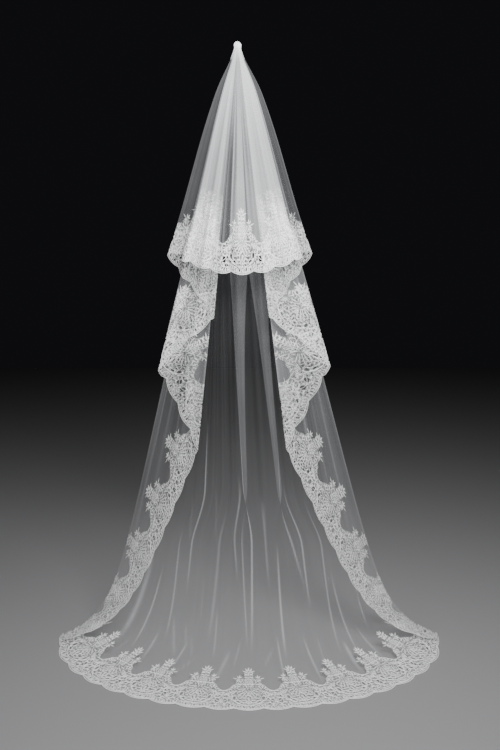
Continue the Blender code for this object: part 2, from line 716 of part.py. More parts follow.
def main():
    clear_scene()
    materials = {
        "tulle": cloth_material("tulle", (0.80, 0.81, 0.83), 0.80),
        "lace": cloth_material("lace", (0.90, 0.90, 0.90), 0.75),
    }
    crown_gather(cloth_material("gather", (0.88, 0.88, 0.89), 0.80))
    for side, word in ((-1, "left"), (1, "right")):
        columns = fan(CORNER.angle, LOW_INNER.angle, 4, LONG_ROWS)
        edges = CORNER.angle, LOW_INNER.angle
        stretch_pieces(f"cascade_4_{word}", *edges, corner_stretch(side), columns, materials)
        upper = (
            ("cascade_3", LOW_INNER, OUTER, 2),
            ("cascade_2", OUTER, HIGH_INNER, 3),
            ("cascade_1", HIGH_INNER, TIP, 4),
            ("blusher_side", TIP, SIDE_INNER, SIDE_LEVEL),
        )
        for name, start, end, level in upper:
            columns = fan(start.angle, end.angle, 1, SHORT_ROWS)
            edges = start.angle, end.angle
            hung = fold_stretch(side, start, end, level)
            stretch_pieces(f"{name}_{word}", *edges, hung, columns, materials)
        pleat_pieces(f"blusher_pleats_{word}", side, materials)
    edges = FRONT.angle, 360.0 - FRONT.angle
    columns = fan(*edges, FRONT_COLUMNS, FRONT_ROWS)
    stretch_pieces("blusher_front", *edges, front_point, columns, materials)
    edges = -CORNER.angle, CORNER.angle
    stretch_pieces("train", *edges, train_point, panel_columns(), materials)


main()
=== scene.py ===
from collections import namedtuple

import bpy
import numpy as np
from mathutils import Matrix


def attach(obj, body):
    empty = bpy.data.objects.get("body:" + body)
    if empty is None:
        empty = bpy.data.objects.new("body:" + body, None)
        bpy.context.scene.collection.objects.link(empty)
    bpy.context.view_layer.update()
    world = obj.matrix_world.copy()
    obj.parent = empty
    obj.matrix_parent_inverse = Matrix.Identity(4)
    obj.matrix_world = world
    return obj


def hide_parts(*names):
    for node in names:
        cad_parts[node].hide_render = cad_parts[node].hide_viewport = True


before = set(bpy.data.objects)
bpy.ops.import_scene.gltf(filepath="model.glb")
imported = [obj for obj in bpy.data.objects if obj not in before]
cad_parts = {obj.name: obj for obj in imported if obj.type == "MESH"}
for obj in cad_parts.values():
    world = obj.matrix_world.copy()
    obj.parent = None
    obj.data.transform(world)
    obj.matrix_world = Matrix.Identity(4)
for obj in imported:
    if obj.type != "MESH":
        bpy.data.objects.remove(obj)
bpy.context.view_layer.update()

# Bridal drop veil. The flat cut has the held point at its origin and the train along +Y. Every
# flat point has an angle (0 at the train's centre line, 180 at the blusher's, negative on the
# left) and a distance from the held point. One function hangs any flat point: tulle sheets, lace
# ground and embroidery are all worked out flat and pass through it.

# Flat cut
HALF_WIDTH = 0.745
TRAIN_LENGTH = 2.34
TRAIN_END_RADIUS = 0.88
TRAIN_CORNER_RADIUS = 0.22
BLUSHER_SIDE_LENGTH = 0.745
BLUSHER_LENGTH = 0.757
NARROWING = 0.107
NARROWING_FROM = 1.9
REPEATS_PER_HALF = 22
SCALLOPS_PER_REPEAT = 2.0
SCALLOP_DEPTH = 0.010
SCALLOP_ROUNDNESS = 0.8
BAND = 0.085

# Fall
LEVEL_STEP = 0.00145
NET_START = 0.014
FLOOR_Z = -2.0
STACK_SHIFT = 0.010
SLOPE_MIDDLE = 0.018
SLOPE_SPREAD = 0.2515
FORWARD_CENTRE = 0.10
FORWARD_SIDE = 0.035
BEND_CENTRE = 0.10
BEND_SIDE = 0.12
HEM_MIDDLE = (0.038, -0.080)
HEM_HALF_WIDTH = 0.670
HEM_REACH = 0.455
CORNER_ANGLE = 19.0
FRONT_ANGLE = 161.4
PLEAT_TURN = 10.84
FOLD_TURN = 0.35

# Fold lines of each side from the train's corner round to the front: flat angle in degrees,
# sideways slope on the left and on the right, forward slope
Fold = namedtuple("Fold", "angle left right forward")
CORNER = Fold(CORNER_ANGLE, -0.233, 0.270, 0.035)
LOW_INNER = Fold(32.5, -0.096, 0.120, 0.157)
OUTER = Fold(40.5, -0.250, 0.297, 0.112)
HIGH_INNER = Fold(49.9, -0.082, 0.114, 0.187)
TIP = Fold(70.15, -0.338, 0.364, 0.125)
SIDE_INNER = Fold(85.5, -0.090, 0.122, 0.202)
PLEAT_FOLDS = (
    Fold(96.34, -0.247, 0.292, 0.163),
    Fold(107.19, -0.100, 0.128, 0.210),
    Fold(118.03, -0.238, 0.280, 0.169),
    Fold(128.87, -0.086, 0.116, 0.218),
    Fold(139.71, -0.250, 0.288, 0.175),
    Fold(150.56, -0.104, 0.124, 0.226),
)
FRONT = Fold(FRONT_ANGLE, -0.256, 0.304, 0.186)
FOLDS = (CORNER, LOW_INNER, OUTER, HIGH_INNER, TIP, SIDE_INNER) + PLEAT_FOLDS + (FRONT,)
FRONT_BULGE = 0.085
FRONT_HITCH = 0.038
BILLOW = 0.014
CORNER_EASE = 0.0018

# Two pleats of the back panel: flat angle of the middle, slope of the middle high up and low down
BackPleat = namedtuple("BackPleat", "angle slope_top slope_low")
BACK_PLEATS = (BackPleat(0.0, 0.005, 0.018), BackPleat(5.2, 0.091, 0.096))
BACK_PLEAT_TURN = 1.25
BACK_PLEAT_LIP = 0.12
BACK_PLEAT_WIDEST = 0.085
BACK_PLEAT_SHRINK = 0.0332
PLEAT_SHIFT = (0.8, 1.6)
PANEL_FREE = (1.45, 1.65)
PLEATS_FLAT = (1.65, 1.85)
BESIDE_LEFT = (-2.4, -0.030)
BESIDE_RIGHT = (3.0, 0.022)

# Soft creases: flat angle at the start, degrees it drifts per metre, half width in degrees,
# height toward the front, extra cover on its crest, distances where it starts and ends. Angle,
# drift, start and end of the first 34 were worked back from lines seen in the photo.
Crease = namedtuple("Crease", "angle drift width height cover start end")
CREASES = tuple(Crease(*row) for row in (
    (-7.7, 0.1, 0.3, 0.005, 0.135, 1.2, 1.86),
    (-9.6, 1.4, 0.28, 0.005, 0.135, 1.56, 2.02),
    (-9.8, 10.8, 0.2, 0.002, 0.054, 1.46, 1.66),
    (-11.4, -2.3, 0.28, 0.005, 0.135, 1.7, 2.07),
    (-13.3, -2.3, 1, 0.004, 0.117, 1.64, 2.04),
    (-6.4, 10.3, 0.2, 0.002, 0.036, 1.42, 1.68),
    (-3.5, -1.6, 0.45, 0.004, 0.062, 1.5, 2.04),
    (-2.5, 3.5, 0.28, 0.004, 0.112, 1.4, 1.8),
    (-0.8, 1.4, 0.22, 0.003, 0.112, 1.52, 2.08),
    (1.1, -0.9, 0.34, 0.006, 0.18, 1.22, 2.1),
    (2.5, 0.6, 0.4, 0.003, 0.068, 1.48, 1.82),
    (4.2, -1.1, 0.34, 0.006, 0.158, 1.62, 2.11),
    (4, 6.7, 0.32, 0.004, 0.158, 1.3, 1.82),
    (7.9, -0.9, 0.32, 0.005, 0.144, 1.42, 1.9),
    (11.2, -3, 0.28, 0.005, 0.135, 1.44, 2.1),
    (11.2, -0.3, 0.28, 0.004, 0.126, 1.72, 2.1),
    (14.8, -3.6, 0.26, 0.004, 0.099, 1.66, 1.97),
    (5.9, 1.9, 0.24, 0.003, 0.135, 1.97, 2.22),
    (7.5, -1.6, 0.24, 0.002, 0.054, 1.98, 2.12),
    (10.1, 0.5, 0.5, 0.004, 0.135, 2, 2.17),
    (12.3, 5, 0.22, 0.003, 0.135, 1.94, 2.14),
    (-9.9, -3.5, 0.35, 0.003, 0.099, 1.96, 2.12),
    (-8.9, 7.6, 0.24, 0.002, 0.099, 1.88, 2.1),
    (-7.2, 6.4, 0.22, 0.001, 0.054, 1.92, 2.05),
    (-6.4, -6.2, 0.26, 0.003, 0.126, 2.01, 2.15),
    (-6.2, 5.9, 0.2, 0.001, 0.054, 1.98, 2.09),
    (-3.6, 0.7, 0.3, 0.002, 0.073, 1.86, 2.11),
    (-5.6, 1, 0.24, 0.001, 0.031, 1.75, 1.94),
    (-1.8, -7.1, 0.5, 0.004, 0.09, 2.04, 2.21),
    (-0.8, -4.8, 0.24, 0.002, 0.068, 2, 2.14),
    (3.1, 0.2, 0.26, 0.004, 0.126, 1.97, 2.23),
    (-5, -22, 0.24, 0.002, 0.068, 2.08, 2.18),
    (2.7, -13.2, 0.24, 0.002, 0.068, 2.03, 2.14),
    (-12.6, -13.9, 0.24, 0.002, 0.068, 1.99, 2.08),
    (-21.2, 0.8, 0.5, 0.0012, 0.062, 0.6, 1.8),
    (-23.6, 0.8, 0.6, 0.0012, 0.045, 0.6, 1.7),
    (-26.5, 0.5, 0.6, 0.0012, 0.054, 0.7, 1.6),
    (21.4, 0.8, 0.5, 0.0012, 0.062, 0.6, 1.8),
    (23.8, 0.8, 0.5, 0.0012, 0.045, 0.6, 1.7),
    (26.8, 0.5, 0.6, 0.0012, 0.054, 0.7, 1.6),
    (168.4, 0, 0.9, 0.006, 0.022, 0.3, 0.95),
    (173, 1.5, 0.8, 0.005, 0.022, 0.35, 0.95),
    (177.5, -1, 0.9, 0.007, 0.022, 0.25, 0.95),
    (-177.6, 1.2, 0.8, 0.0055, 0.022, 0.35, 0.95),
    (-173.2, -1.4, 0.9, 0.007, 0.022, 0.3, 0.95),
    (-168.6, 0, 0.8, 0.005, 0.022, 0.3, 0.95),
))
CREST = 0.34

# Bands of the front fall where more cloth lies behind it: flat angles and extra cover
Band = namedtuple("Band", "low high cover")
FRONT_BANDS = (
    Band(178.3, 183.9, 0.16),
    Band(173.6, 177.7, 0.115),
    Band(185.6, 186.2, 0.05),
    Band(188.6, 190.0, 0.04),
    Band(166.0, 168.5, 0.04),
)

# Flutes that all layers share, across the sideways slope, and spread of the outer lines high up
FLUTE_HEIGHT = 0.005
FLUTE_WAVE = 74.0
SPREAD = 0.019
SPREAD_SLOPE = 0.35

CORNER_X = HALF_WIDTH - TRAIN_CORNER_RADIUS
END_CENTRE_Y = TRAIN_LENGTH - TRAIN_END_RADIUS
CORNER_RISE = np.sqrt((TRAIN_END_RADIUS - TRAIN_CORNER_RADIUS) ** 2 - CORNER_X ** 2)
CORNER_Y = END_CENTRE_Y + CORNER_RISE
JOIN_ANGLE = np.arctan2(CORNER_X, CORNER_RISE)
BLUSHER_MEAN = (BLUSHER_SIDE_LENGTH + BLUSHER_LENGTH) / 2
END_EDGE = TRAIN_END_RADIUS * JOIN_ANGLE
CORNER_EDGE = END_EDGE + TRAIN_CORNER_RADIUS * (np.pi / 2 - JOIN_ANGLE)
SIDE_EDGE = CORNER_EDGE + CORNER_Y
HALF_EDGE = SIDE_EDGE + BLUSHER_MEAN * np.pi / 2
REPEAT = HALF_EDGE / REPEATS_PER_HALF
SCALLOP = REPEAT / SCALLOPS_PER_REPEAT
MM = 0.001


def rise(value, low, high):
    """Smooth step from 0 at low to 1 at high."""
    share = np.clip((value - low) / (high - low), 0.0, 1.0)
    return share * share * (3.0 - 2.0 * share)


def flat_point(along, inward):
    """Flat x and y at a distance along the edge from the train's middle and a distance in from it.

    The edge is an arc at the train's end, a small arc at its corner, a straight side and a nearly
    round blusher, whose radius grows with the square of the sine of its angle. The whole cut then
    narrows evenly from NARROWING_FROM down to the held point and stays narrow from there on.
    """
    distance = np.abs(along)
    end = distance / TRAIN_END_RADIUS
    corner = JOIN_ANGLE + (distance - END_EDGE) / TRAIN_CORNER_RADIUS
    blusher = (distance - SIDE_EDGE) / BLUSHER_MEAN
    reach = BLUSHER_SIDE_LENGTH + (BLUSHER_LENGTH - BLUSHER_SIDE_LENGTH) * np.sin(blusher) ** 2
    where = [distance <= END_EDGE, distance <= CORNER_EDGE, distance <= SIDE_EDGE]
    out_x = np.select(where, [np.sin(end), np.sin(corner), 1.0], np.cos(blusher))
    out_y = np.select(where, [np.cos(end), np.cos(corner), 0.0], -np.sin(blusher))
    corner_x = CORNER_X + TRAIN_CORNER_RADIUS * np.sin(corner)
    corner_y = CORNER_Y + TRAIN_CORNER_RADIUS * np.cos(corner)
    end_x = TRAIN_END_RADIUS * np.sin(end)
    end_y = END_CENTRE_Y + TRAIN_END_RADIUS * np.cos(end)
    side_y = CORNER_Y - (distance - CORNER_EDGE)
    edge_x = np.select(where, [end_x, corner_x, HALF_WIDTH], reach * np.cos(blusher))
    edge_y = np.select(where, [end_y, corner_y, side_y], -reach * np.sin(blusher))
    side = np.where(along < 0, -1.0, 1.0)
    y = edge_y - inward * out_y
    width = 1.0 - NARROWING * (1.0 - np.clip(y / NARROWING_FROM, 0.0, 1.0))
    return side * (edge_x - inward * out_x) * width, y


def polar(x, y):
    """Flat angle in degrees, from -180 to 180, and distance from the held point."""
    return np.degrees(np.arctan2(x, y)), np.hypot(x, y)


EDGE_ALONG = np.linspace(0.0, HALF_EDGE, 4000)
EDGE_ANGLE, EDGE_REACH = polar(*flat_point(EDGE_ALONG, 0.0 * EDGE_ALONG))
INSET_ANGLE, INSET_REACH = polar(*flat_point(EDGE_ALONG, 0.0 * EDGE_ALONG + BAND))
EDGE_ANGLE, INSET_ANGLE = np.abs(EDGE_ANGLE), np.abs(INSET_ANGLE)


def reach_at(angle):
    """Distance from the held point to the hem at a flat angle."""
    return np.interp(np.abs(angle), EDGE_ANGLE, EDGE_REACH)


def inset_at(angle):
    """Distance from the held point to the net's edge, a band's height in from the hem."""
    return np.interp(np.abs(angle), INSET_ANGLE, INSET_REACH)


def along_at(angle):
    """Distance along the edge at a flat angle, which may pass 180 on the right."""
    turned = 180.0 - np.abs(180.0 - np.abs(angle))
    along = np.interp(turned, EDGE_ANGLE, EDGE_ALONG)
    return np.sign(angle) * np.where(np.abs(angle) > 180.0, 2 * HALF_EDGE - along, along)


def bend_of(slope):
    """Forward slope, bend width, run's direction, knee distance and tail of a hanging line."""
    turn = np.arcsin(np.clip((slope - SLOPE_MIDDLE) / SLOPE_SPREAD, -1.0, 1.0))
    forward = FORWARD_SIDE + (FORWARD_CENTRE - FORWARD_SIDE) * np.cos(turn) ** 2
    bend = BEND_SIDE + (BEND_CENTRE - BEND_SIDE) * np.cos(turn) ** 2
    knee_slope = SLOPE_MIDDLE + SLOPE_SPREAD * np.sin(turn)
    run_x = HEM_MIDDLE[0] + HEM_HALF_WIDTH * np.sin(turn) + FLOOR_Z * knee_slope
    run_y = HEM_MIDDLE[1] - HEM_REACH * np.cos(turn) - FLOOR_Z * forward
    run = np.hypot(run_x, run_y)
    knee = -FLOOR_Z * np.sqrt(1.0 + knee_slope ** 2 + forward ** 2)
    tail = bend * np.log(np.exp(run / bend) - 1.0)
    return forward, bend, run_x / run, run_y / run, knee, tail


def hem_distance(slope):
    """Length of the hanging line from the held point to the hem on the floor."""
    knee, tail = bend_of(slope)[4:]
    return knee + tail


CORNER_REACH_X = reach_at(CORNER_ANGLE) * np.sin(np.radians(CORNER_ANGLE))


def spread_slope(angle):
    """Sideways slope of the back panel's lines where they lie free."""
    return SLOPE_MIDDLE + SLOPE_SPREAD * reach_at(angle) * np.sin(np.radians(angle)) / CORNER_REACH_X


def panel_fall(angle, distance):
    """Slope and level of the back panel, with two pleats of three layers that open lower down.

    A pleat runs to the right, turns back to the left one level up and turns again. Its width
    falls with the cube of the distance.
    """
    width = np.minimum(BACK_PLEAT_SHRINK / np.maximum(distance, 0.06) ** 3, BACK_PLEAT_WIDEST)
    shift = rise(distance, *PLEAT_SHIFT)
    centres = [p.slope_top + (p.slope_low - p.slope_top) * shift for p in BACK_PLEATS]
    right = centres[-1] + width / 2 + BESIDE_RIGHT[1]
    left = centres[0] - width / 2 + BESIDE_LEFT[1]
    knots = [(-CORNER.angle, CORNER.left, 0)]
    knots.append((BACK_PLEATS[0].angle - BACK_PLEAT_TURN + BESIDE_LEFT[0], left, 0))
    for pleat, centre in zip(BACK_PLEATS, centres):
        first = pleat.angle - BACK_PLEAT_TURN
        second = pleat.angle + BACK_PLEAT_TURN
        knots.append((first, centre + width / 2, 0))
        knots.append((first + BACK_PLEAT_LIP, centre + width / 2, 1))
        knots.append((second - BACK_PLEAT_LIP, centre - width / 2, 1))
        knots.append((second, centre - width / 2, 2))
    knots.append((BACK_PLEATS[-1].angle + BACK_PLEAT_TURN + BESIDE_RIGHT[0], right, 0))
    knots.append((CORNER.angle, CORNER.right, 0))
    angles, slopes, levels = [
        np.array([np.broadcast_to(k[i], distance.shape) for k in knots]) for i in range(3)
    ]
    place = np.clip((angles <= angle + 1e-6).sum(axis=0) - 1, 0, len(knots) - 2)
    pick = np.arange(len(angle))
    share = (angle - angles[place, pick]) / (angles[place + 1, pick] - angles[place, pick])
    slope = slopes[place, pick] + (slopes[place + 1, pick] - slopes[place, pick]) * share
    level = levels[place, pick] + (levels[place + 1, pick] - levels[place, pick]) * share
    slope = slope + (spread_slope(angle) - slope) * rise(distance, *PANEL_FREE)
    return slope, level * (1.0 - rise(distance, *PLEATS_FLAT))


def crease_bells(angle, distance, core):
    """Each crease with its bell, 1 on its line, faded in and out over a third of its length."""
    for row in CREASES:
        line = row.angle + row.drift * (distance - row.start)
        bell = np.exp(-((angle - line) / (row.width * core)) ** 2)
        fade = 0.33 * (row.end - row.start)
        shown = rise(distance, row.start, row.start + fade)
        hidden = rise(distance, row.end - fade, row.end)
        yield row, bell * (shown * (1 - hidden))


def shared_flutes(slope, distance):
    """Forward height of the shallow flutes: two sines of the sideways slope, flat on the floor."""
    wave = np.sin(FLUTE_WAVE * slope + 0.6) + 0.45 * np.sin(1.77 * FLUTE_WAVE * slope + 2.0)
    return FLUTE_HEIGHT * wave * rise(distance, 0.08, 0.5) * (1.0 - rise(distance, 1.2, 1.7))


def top_spread(slope, distance):
    """Sideways shift of the outer lines near the held point, with the cube of their slope."""
    share = rise(distance, 0.0, 0.18) * (1.0 - rise(distance, 0.22, 0.66))
    return SPREAD * (slope / SPREAD_SLOPE) ** 3 * share


def hung(angle, distance, lift):
    """Point of the hung veil at a flat angle and distance, lifted toward the front by lift.

    A hanging line runs straight from the held point. Past the knee it turns into a line along the
    floor: the run along the floor is bend * log(1 + exp(t / bend)), with t the distance past the
    knee. Each fold raises the cloth by one level, in a smooth step across the fold. Creases and
    flutes raise it further, and the outer lines spread sideways near the held point.
    """
    turn = np.abs(angle)
    left = angle < 0
    knots = [fold.angle for fold in FOLDS]
    slope = np.where(
        left,
        np.interp(turn, knots, [fold.left for fold in FOLDS]),
        np.interp(turn, knots, [fold.right for fold in FOLDS]),
    )
    forward = np.interp(turn, knots, [fold.forward for fold in FOLDS])
    level = sum(rise(turn, fold.angle - FOLD_TURN, fold.angle + FOLD_TURN) for fold in FOLDS)

    front = turn > FRONT_ANGLE
    across = (turn - FRONT_ANGLE) / (360.0 - 2.0 * FRONT_ANGLE)
    across = np.where(left, 1.0 - across, across)
    bulge = np.where(front, 4.0 * across * (1.0 - across), 0.0)
    slope = np.where(front, FRONT.right + (FRONT.left - FRONT.right) * across, slope)
    forward = forward + FRONT_BULGE * bulge
    drawn = np.where(front, 1.0 - bulge, np.clip((turn - PLEAT_FOLDS[-1].angle) / PLEAT_TURN, 0.0, 1.0))

    share = np.clip((turn - CORNER_ANGLE) / (LOW_INNER.angle - CORNER_ANGLE), 0.0, 1.0)
    corner_slope = np.where(left, CORNER.left, CORNER.right)
    corner = hem_distance(corner_slope) / reach_at(CORNER_ANGLE)
    length = corner + (1.0 - corner) * share
    beside = rise(share, 0.0, 0.12) * (1.0 - rise(share, 0.4, 0.9))
    billow = BILLOW * beside * rise(distance, 1.1, 1.7)
    billow = billow + CORNER_EASE * (1.0 - rise(share, 0.1, 0.6)) * rise(distance, 0.9, 1.4)
    lift = lift + np.where(turn > CORNER_ANGLE, billow, 0.0)

    panel = turn < CORNER_ANGLE
    if panel.any():
        panel_slope, panel_level = panel_fall(angle[panel], distance[panel])
        slope[panel] = panel_slope
        level[panel] += panel_level
        flat = spread_slope(angle[panel])
        length[panel] = hem_distance(flat) / reach_at(angle[panel])
    length = length * (1.0 - FRONT_HITCH * drawn * rise(distance, 0.15, 0.65))
    distance = distance * length

    lean, bend, out_x, out_y, knee, tail = bend_of(slope)
    past = (distance - knee) / bend
    floor_run = bend * np.log1p(np.exp(past))
    down = distance - floor_run
    hem_down = knee + tail - bend * np.log1p(np.exp(tail / bend))
    size = np.sqrt(1.0 + slope ** 2 + lean ** 2)
    knee_slope = np.clip(slope, SLOPE_MIDDLE - SLOPE_SPREAD, SLOPE_MIDDLE + SLOPE_SPREAD)
    knee_size = np.sqrt(1.0 + knee_slope ** 2 + lean ** 2)
    x = down * slope / size + floor_run * out_x
    y = -down * lean / size + floor_run * out_y + STACK_SHIFT
    z = down / size * ((FLOOR_Z + 0.0005) / (hem_down / knee_size))
    laid = 1.0 / (1.0 + np.exp(-past))
    ridges = sum(row.height * bell for row, bell in crease_bells(angle, distance, 1.0))
    lift = lift + level * LEVEL_STEP + ridges + shared_flutes(slope, distance)
    x = x + top_spread(slope, distance)
    lift = lift + np.where(panel, 0.0, (forward - lean) * distance)
    steep = np.hypot(1.0 - laid, laid)
    return np.stack([x, y - lift * (1.0 - laid) / steep, z + lift * laid / steep], axis=-1)


def grid_faces(rows, columns, count=1):
    """Quads of one or more grids of points, row by row."""
    corner = np.arange((rows - 1) * columns).reshape(rows - 1, columns)[:, :-1].reshape(-1)
    quads = np.stack([corner, corner + 1, corner + columns + 1, corner + columns], axis=1)
    return (np.arange(count)[:, None, None] * rows * columns + quads).reshape(-1, 4)


def add_object(name, data):
    """A new object in the scene's collection."""
    obj = bpy.data.objects.new(name, data)
    bpy.context.scene.collection.objects.link(obj)
    return obj


def piece(name, points, faces, maps, materials, density=None):
    """A mesh object from arrays of points, quads and flat maps, with a density on its points."""
    mesh = bpy.data.meshes.new(name)
    mesh.vertices.add(len(points))
    mesh.vertices.foreach_set("co", points.astype(np.float32).reshape(-1))
    mesh.loops.add(faces.size)
    mesh.loops.foreach_set("vertex_index", faces.astype(np.int32).reshape(-1))
    mesh.polygons.add(len(faces))
    mesh.polygons.foreach_set("loop_start", np.arange(0, faces.size, 4, dtype=np.int32))
    for title, values in maps.items():
        layer = mesh.uv_layers.new(name=title)
        layer.uv.foreach_set("vector", values[faces.reshape(-1)].astype(np.float32).reshape(-1))
    if density is not None:
        layer = mesh.attributes.new("cover", "FLOAT", "POINT")
        layer.data.foreach_set("value", density.astype(np.float32))
    mesh.update()
    mesh.validate()
    mesh.shade_smooth()
    for material in materials:
        mesh.materials.append(material)
    return add_object(name, mesh)


def face_normals(points, faces):
    """Cross product of two sides of each quad."""
    a, b, c = (points[faces[:, i]] for i in range(3))
    return np.cross(b - a, c - a)


def facing_front(points, faces):
    """The quads turned over where most of them face away from the front and from above."""
    normal = face_normals(points, faces)
    return faces[:, ::-1] if (normal[:, 2] - normal[:, 1]).sum() < 0 else faces


def flat_area(x, y, faces):
    """Area of flat quads: half the sum of cross products round each."""
    px, py = x[faces], y[faces]
    crossed = px * np.roll(py, -1, axis=1) - py * np.roll(px, -1, axis=1)
    return float(0.5 * np.abs(crossed.sum(axis=1)).sum())


def flat_size(x, y, faces):
    """Width, length and area of a flat piece, measured along its own mean direction."""
    lean = np.arctan2(x.mean(), y.mean())
    across = x * np.cos(lean) - y * np.sin(lean)
    along = x * np.sin(lean) + y * np.cos(lean)
    return float(np.ptp(across)), float(np.ptp(along)), flat_area(x, y, faces)


def net_columns(low, high, step):
    """Flat angles of a net's columns: even, and closer beside every fold and back pleat turn."""
    turns = [fold.angle for fold in FOLDS] + [-fold.angle for fold in FOLDS]
    turns += [360.0 - FRONT_ANGLE]
    near = [turn + offset for turn in turns for offset in (-0.35, -0.23, -0.12, 0.0, 0.12, 0.23, 0.35)]
    for pleat in BACK_PLEATS:
        for turn in (-BACK_PLEAT_TURN, BACK_PLEAT_TURN):
            lip = turn - np.sign(turn) * BACK_PLEAT_LIP
            near += [pleat.angle + turn, pleat.angle + lip, pleat.angle + (turn + lip) / 2]
    even = np.linspace(low, high, int(np.ceil((high - low) / step)) + 1)
    inner = [angle for angle in near if low < angle < high]
    return np.unique(np.round(np.concatenate([even, inner]), 4))


STREAK_COVER = 0.22
FOLD_COVER = 1.2
FOLD_BELL = 0.3
PLEAT_COVER = 0.9
FRONT_NEAR_COVER = 5.0
NEAR_COVER = 1.2
CORNER_COVER = 1.1
MOST_COVER = 0.92


def net_density(angle, distance, thickness):
    """How much of the light a stretch of net stops.

    It is even, thicker in a narrow bell at every fold and over the back pleats, streaked along the
    hanging lines by a sum of sines of the angle, and thicker on the creases, in the bands of the
    front fall, toward the held point and over the corner's upper cloth.
    """
    turn = np.abs(angle)
    front = turn > FRONT_ANGLE
    fold = sum(np.exp(-((turn - row.angle) / FOLD_BELL) ** 2) for row in FOLDS)
    streak = np.sin(2.1 * angle + 0.6 * np.sin(3.0 * distance)) * np.sin(5.3 * angle + 1.0)
    streak = streak + 0.5 * np.sin(11.7 * angle + 0.8 * np.sin(5.0 * distance))
    near_front = FRONT_NEAR_COVER * (1.0 - rise(distance, 0.10, 0.42))
    near = np.where(front, near_front, NEAR_COVER * np.exp(-distance / 0.15))
    beside = (turn > CORNER_ANGLE) * (turn < LOW_INNER.angle)
    near = near + CORNER_COVER * beside * (1.0 - rise(distance, 1.0, 1.6))
    pleat = sum(np.abs(angle - row.angle) < BACK_PLEAT_TURN for row in BACK_PLEATS)
    pleat = PLEAT_COVER * pleat * (1.0 - rise(distance, 1.2, 1.6))
    density = thickness * (1.0 + STREAK_COVER * streak + FOLD_COVER * fold + pleat) * (1.0 + near)
    density = density + sum(row.cover * bell for row, bell in crease_bells(angle, distance, CREST))
    whole = np.where(angle < 0, angle + 360.0, angle)
    for row in FRONT_BANDS:
        band = rise(whole, row.low - 0.3, row.low + 0.3)
        band = band * (1.0 - rise(whole, row.high - 0.3, row.high + 0.3))
        density = density + row.cover * band * front * rise(distance, 0.1, 0.4)
    return np.minimum(density, MOST_COVER)


def net_sheet(name, low, high, step, rows, thickness, material):
    """One stretch of soft tulle between two flat angles, from the gather to the lace band."""
    angles = net_columns(low, high, step)
    angle, share = np.meshgrid(angles, np.linspace(0.0, 1.0, rows))
    signed = np.where(angle > 180.0, angle - 360.0, angle)
    distance = NET_START + (inset_at(signed) - NET_START) * share
    signed, distance = signed.reshape(-1), distance.reshape(-1)
    points = hung(signed, distance, np.zeros_like(distance))
    faces = facing_front(points, grid_faces(rows, len(angles)))
    x = distance * np.sin(np.radians(signed))
    y = distance * np.cos(np.radians(signed))
    density = net_density(signed, distance, thickness)
    maps = {"flat": np.stack([x, y], axis=1)}
    obj = piece(name, points, faces, maps, [material], density)
    return obj, flat_size(x, y, faces)


# Lace ground: its inner edge as share of the repeat from the tall spray's middle and height
TOP_SHARE = (0.0, 0.040, 0.085, 0.095, 0.120, 0.165, 0.215, 0.262, 0.285, 0.315, 0.350, 0.420, 0.500)
TOP_HEIGHT = (0.210, 0.206, 0.196, 0.180, 0.158, 0.160, 0.168, 0.150, 0.120, 0.124, 0.112, 0.097, 0.093)
Opening = namedtuple("Opening", "share height half_width half_height lean")
HALF_OPENINGS = (
    Opening(0.428, 0.043, 0.0065, 0.0120, 20.0),
    Opening(0.275, 0.056, 0.0052, 0.0095, 24.0),
    Opening(0.185, 0.040, 0.0050, 0.0095, 52.0),
    Opening(0.080, 0.015, 0.0045, 0.0080, -52.0),
)
OPENINGS = HALF_OPENINGS + tuple(r._replace(share=-r.share, lean=-r.lean) for r in HALF_OPENINGS)
GROUND_STEP = 0.0032
GROUND_ROWS = 30
GROUND_LIFT = 0.0004
THREAD_LIFT = GROUND_LIFT + 0.0002
OPENING_MARGIN = 0.012


def hem_inset(along):
    """Depth of the scalloped hem: round lobes with sharp notches between them."""
    return SCALLOP_DEPTH * (1.0 - np.abs(np.cos(np.pi * along / SCALLOP)) ** SCALLOP_ROUNDNESS)


def spray_share(along):
    """Share of the repeat from the nearest tall spray's middle, from -0.5 to 0.5."""
    return (along / REPEAT + 0.5) % 1.0 - 0.5


def to_hung(along, inward, lift):
    """Hung points of edge coordinates, and their flat coordinates."""
    x, y = flat_point(along, inward)
    angle, distance = polar(x, y)
    return hung(angle.reshape(-1), distance.reshape(-1), lift.reshape(-1)), x, y


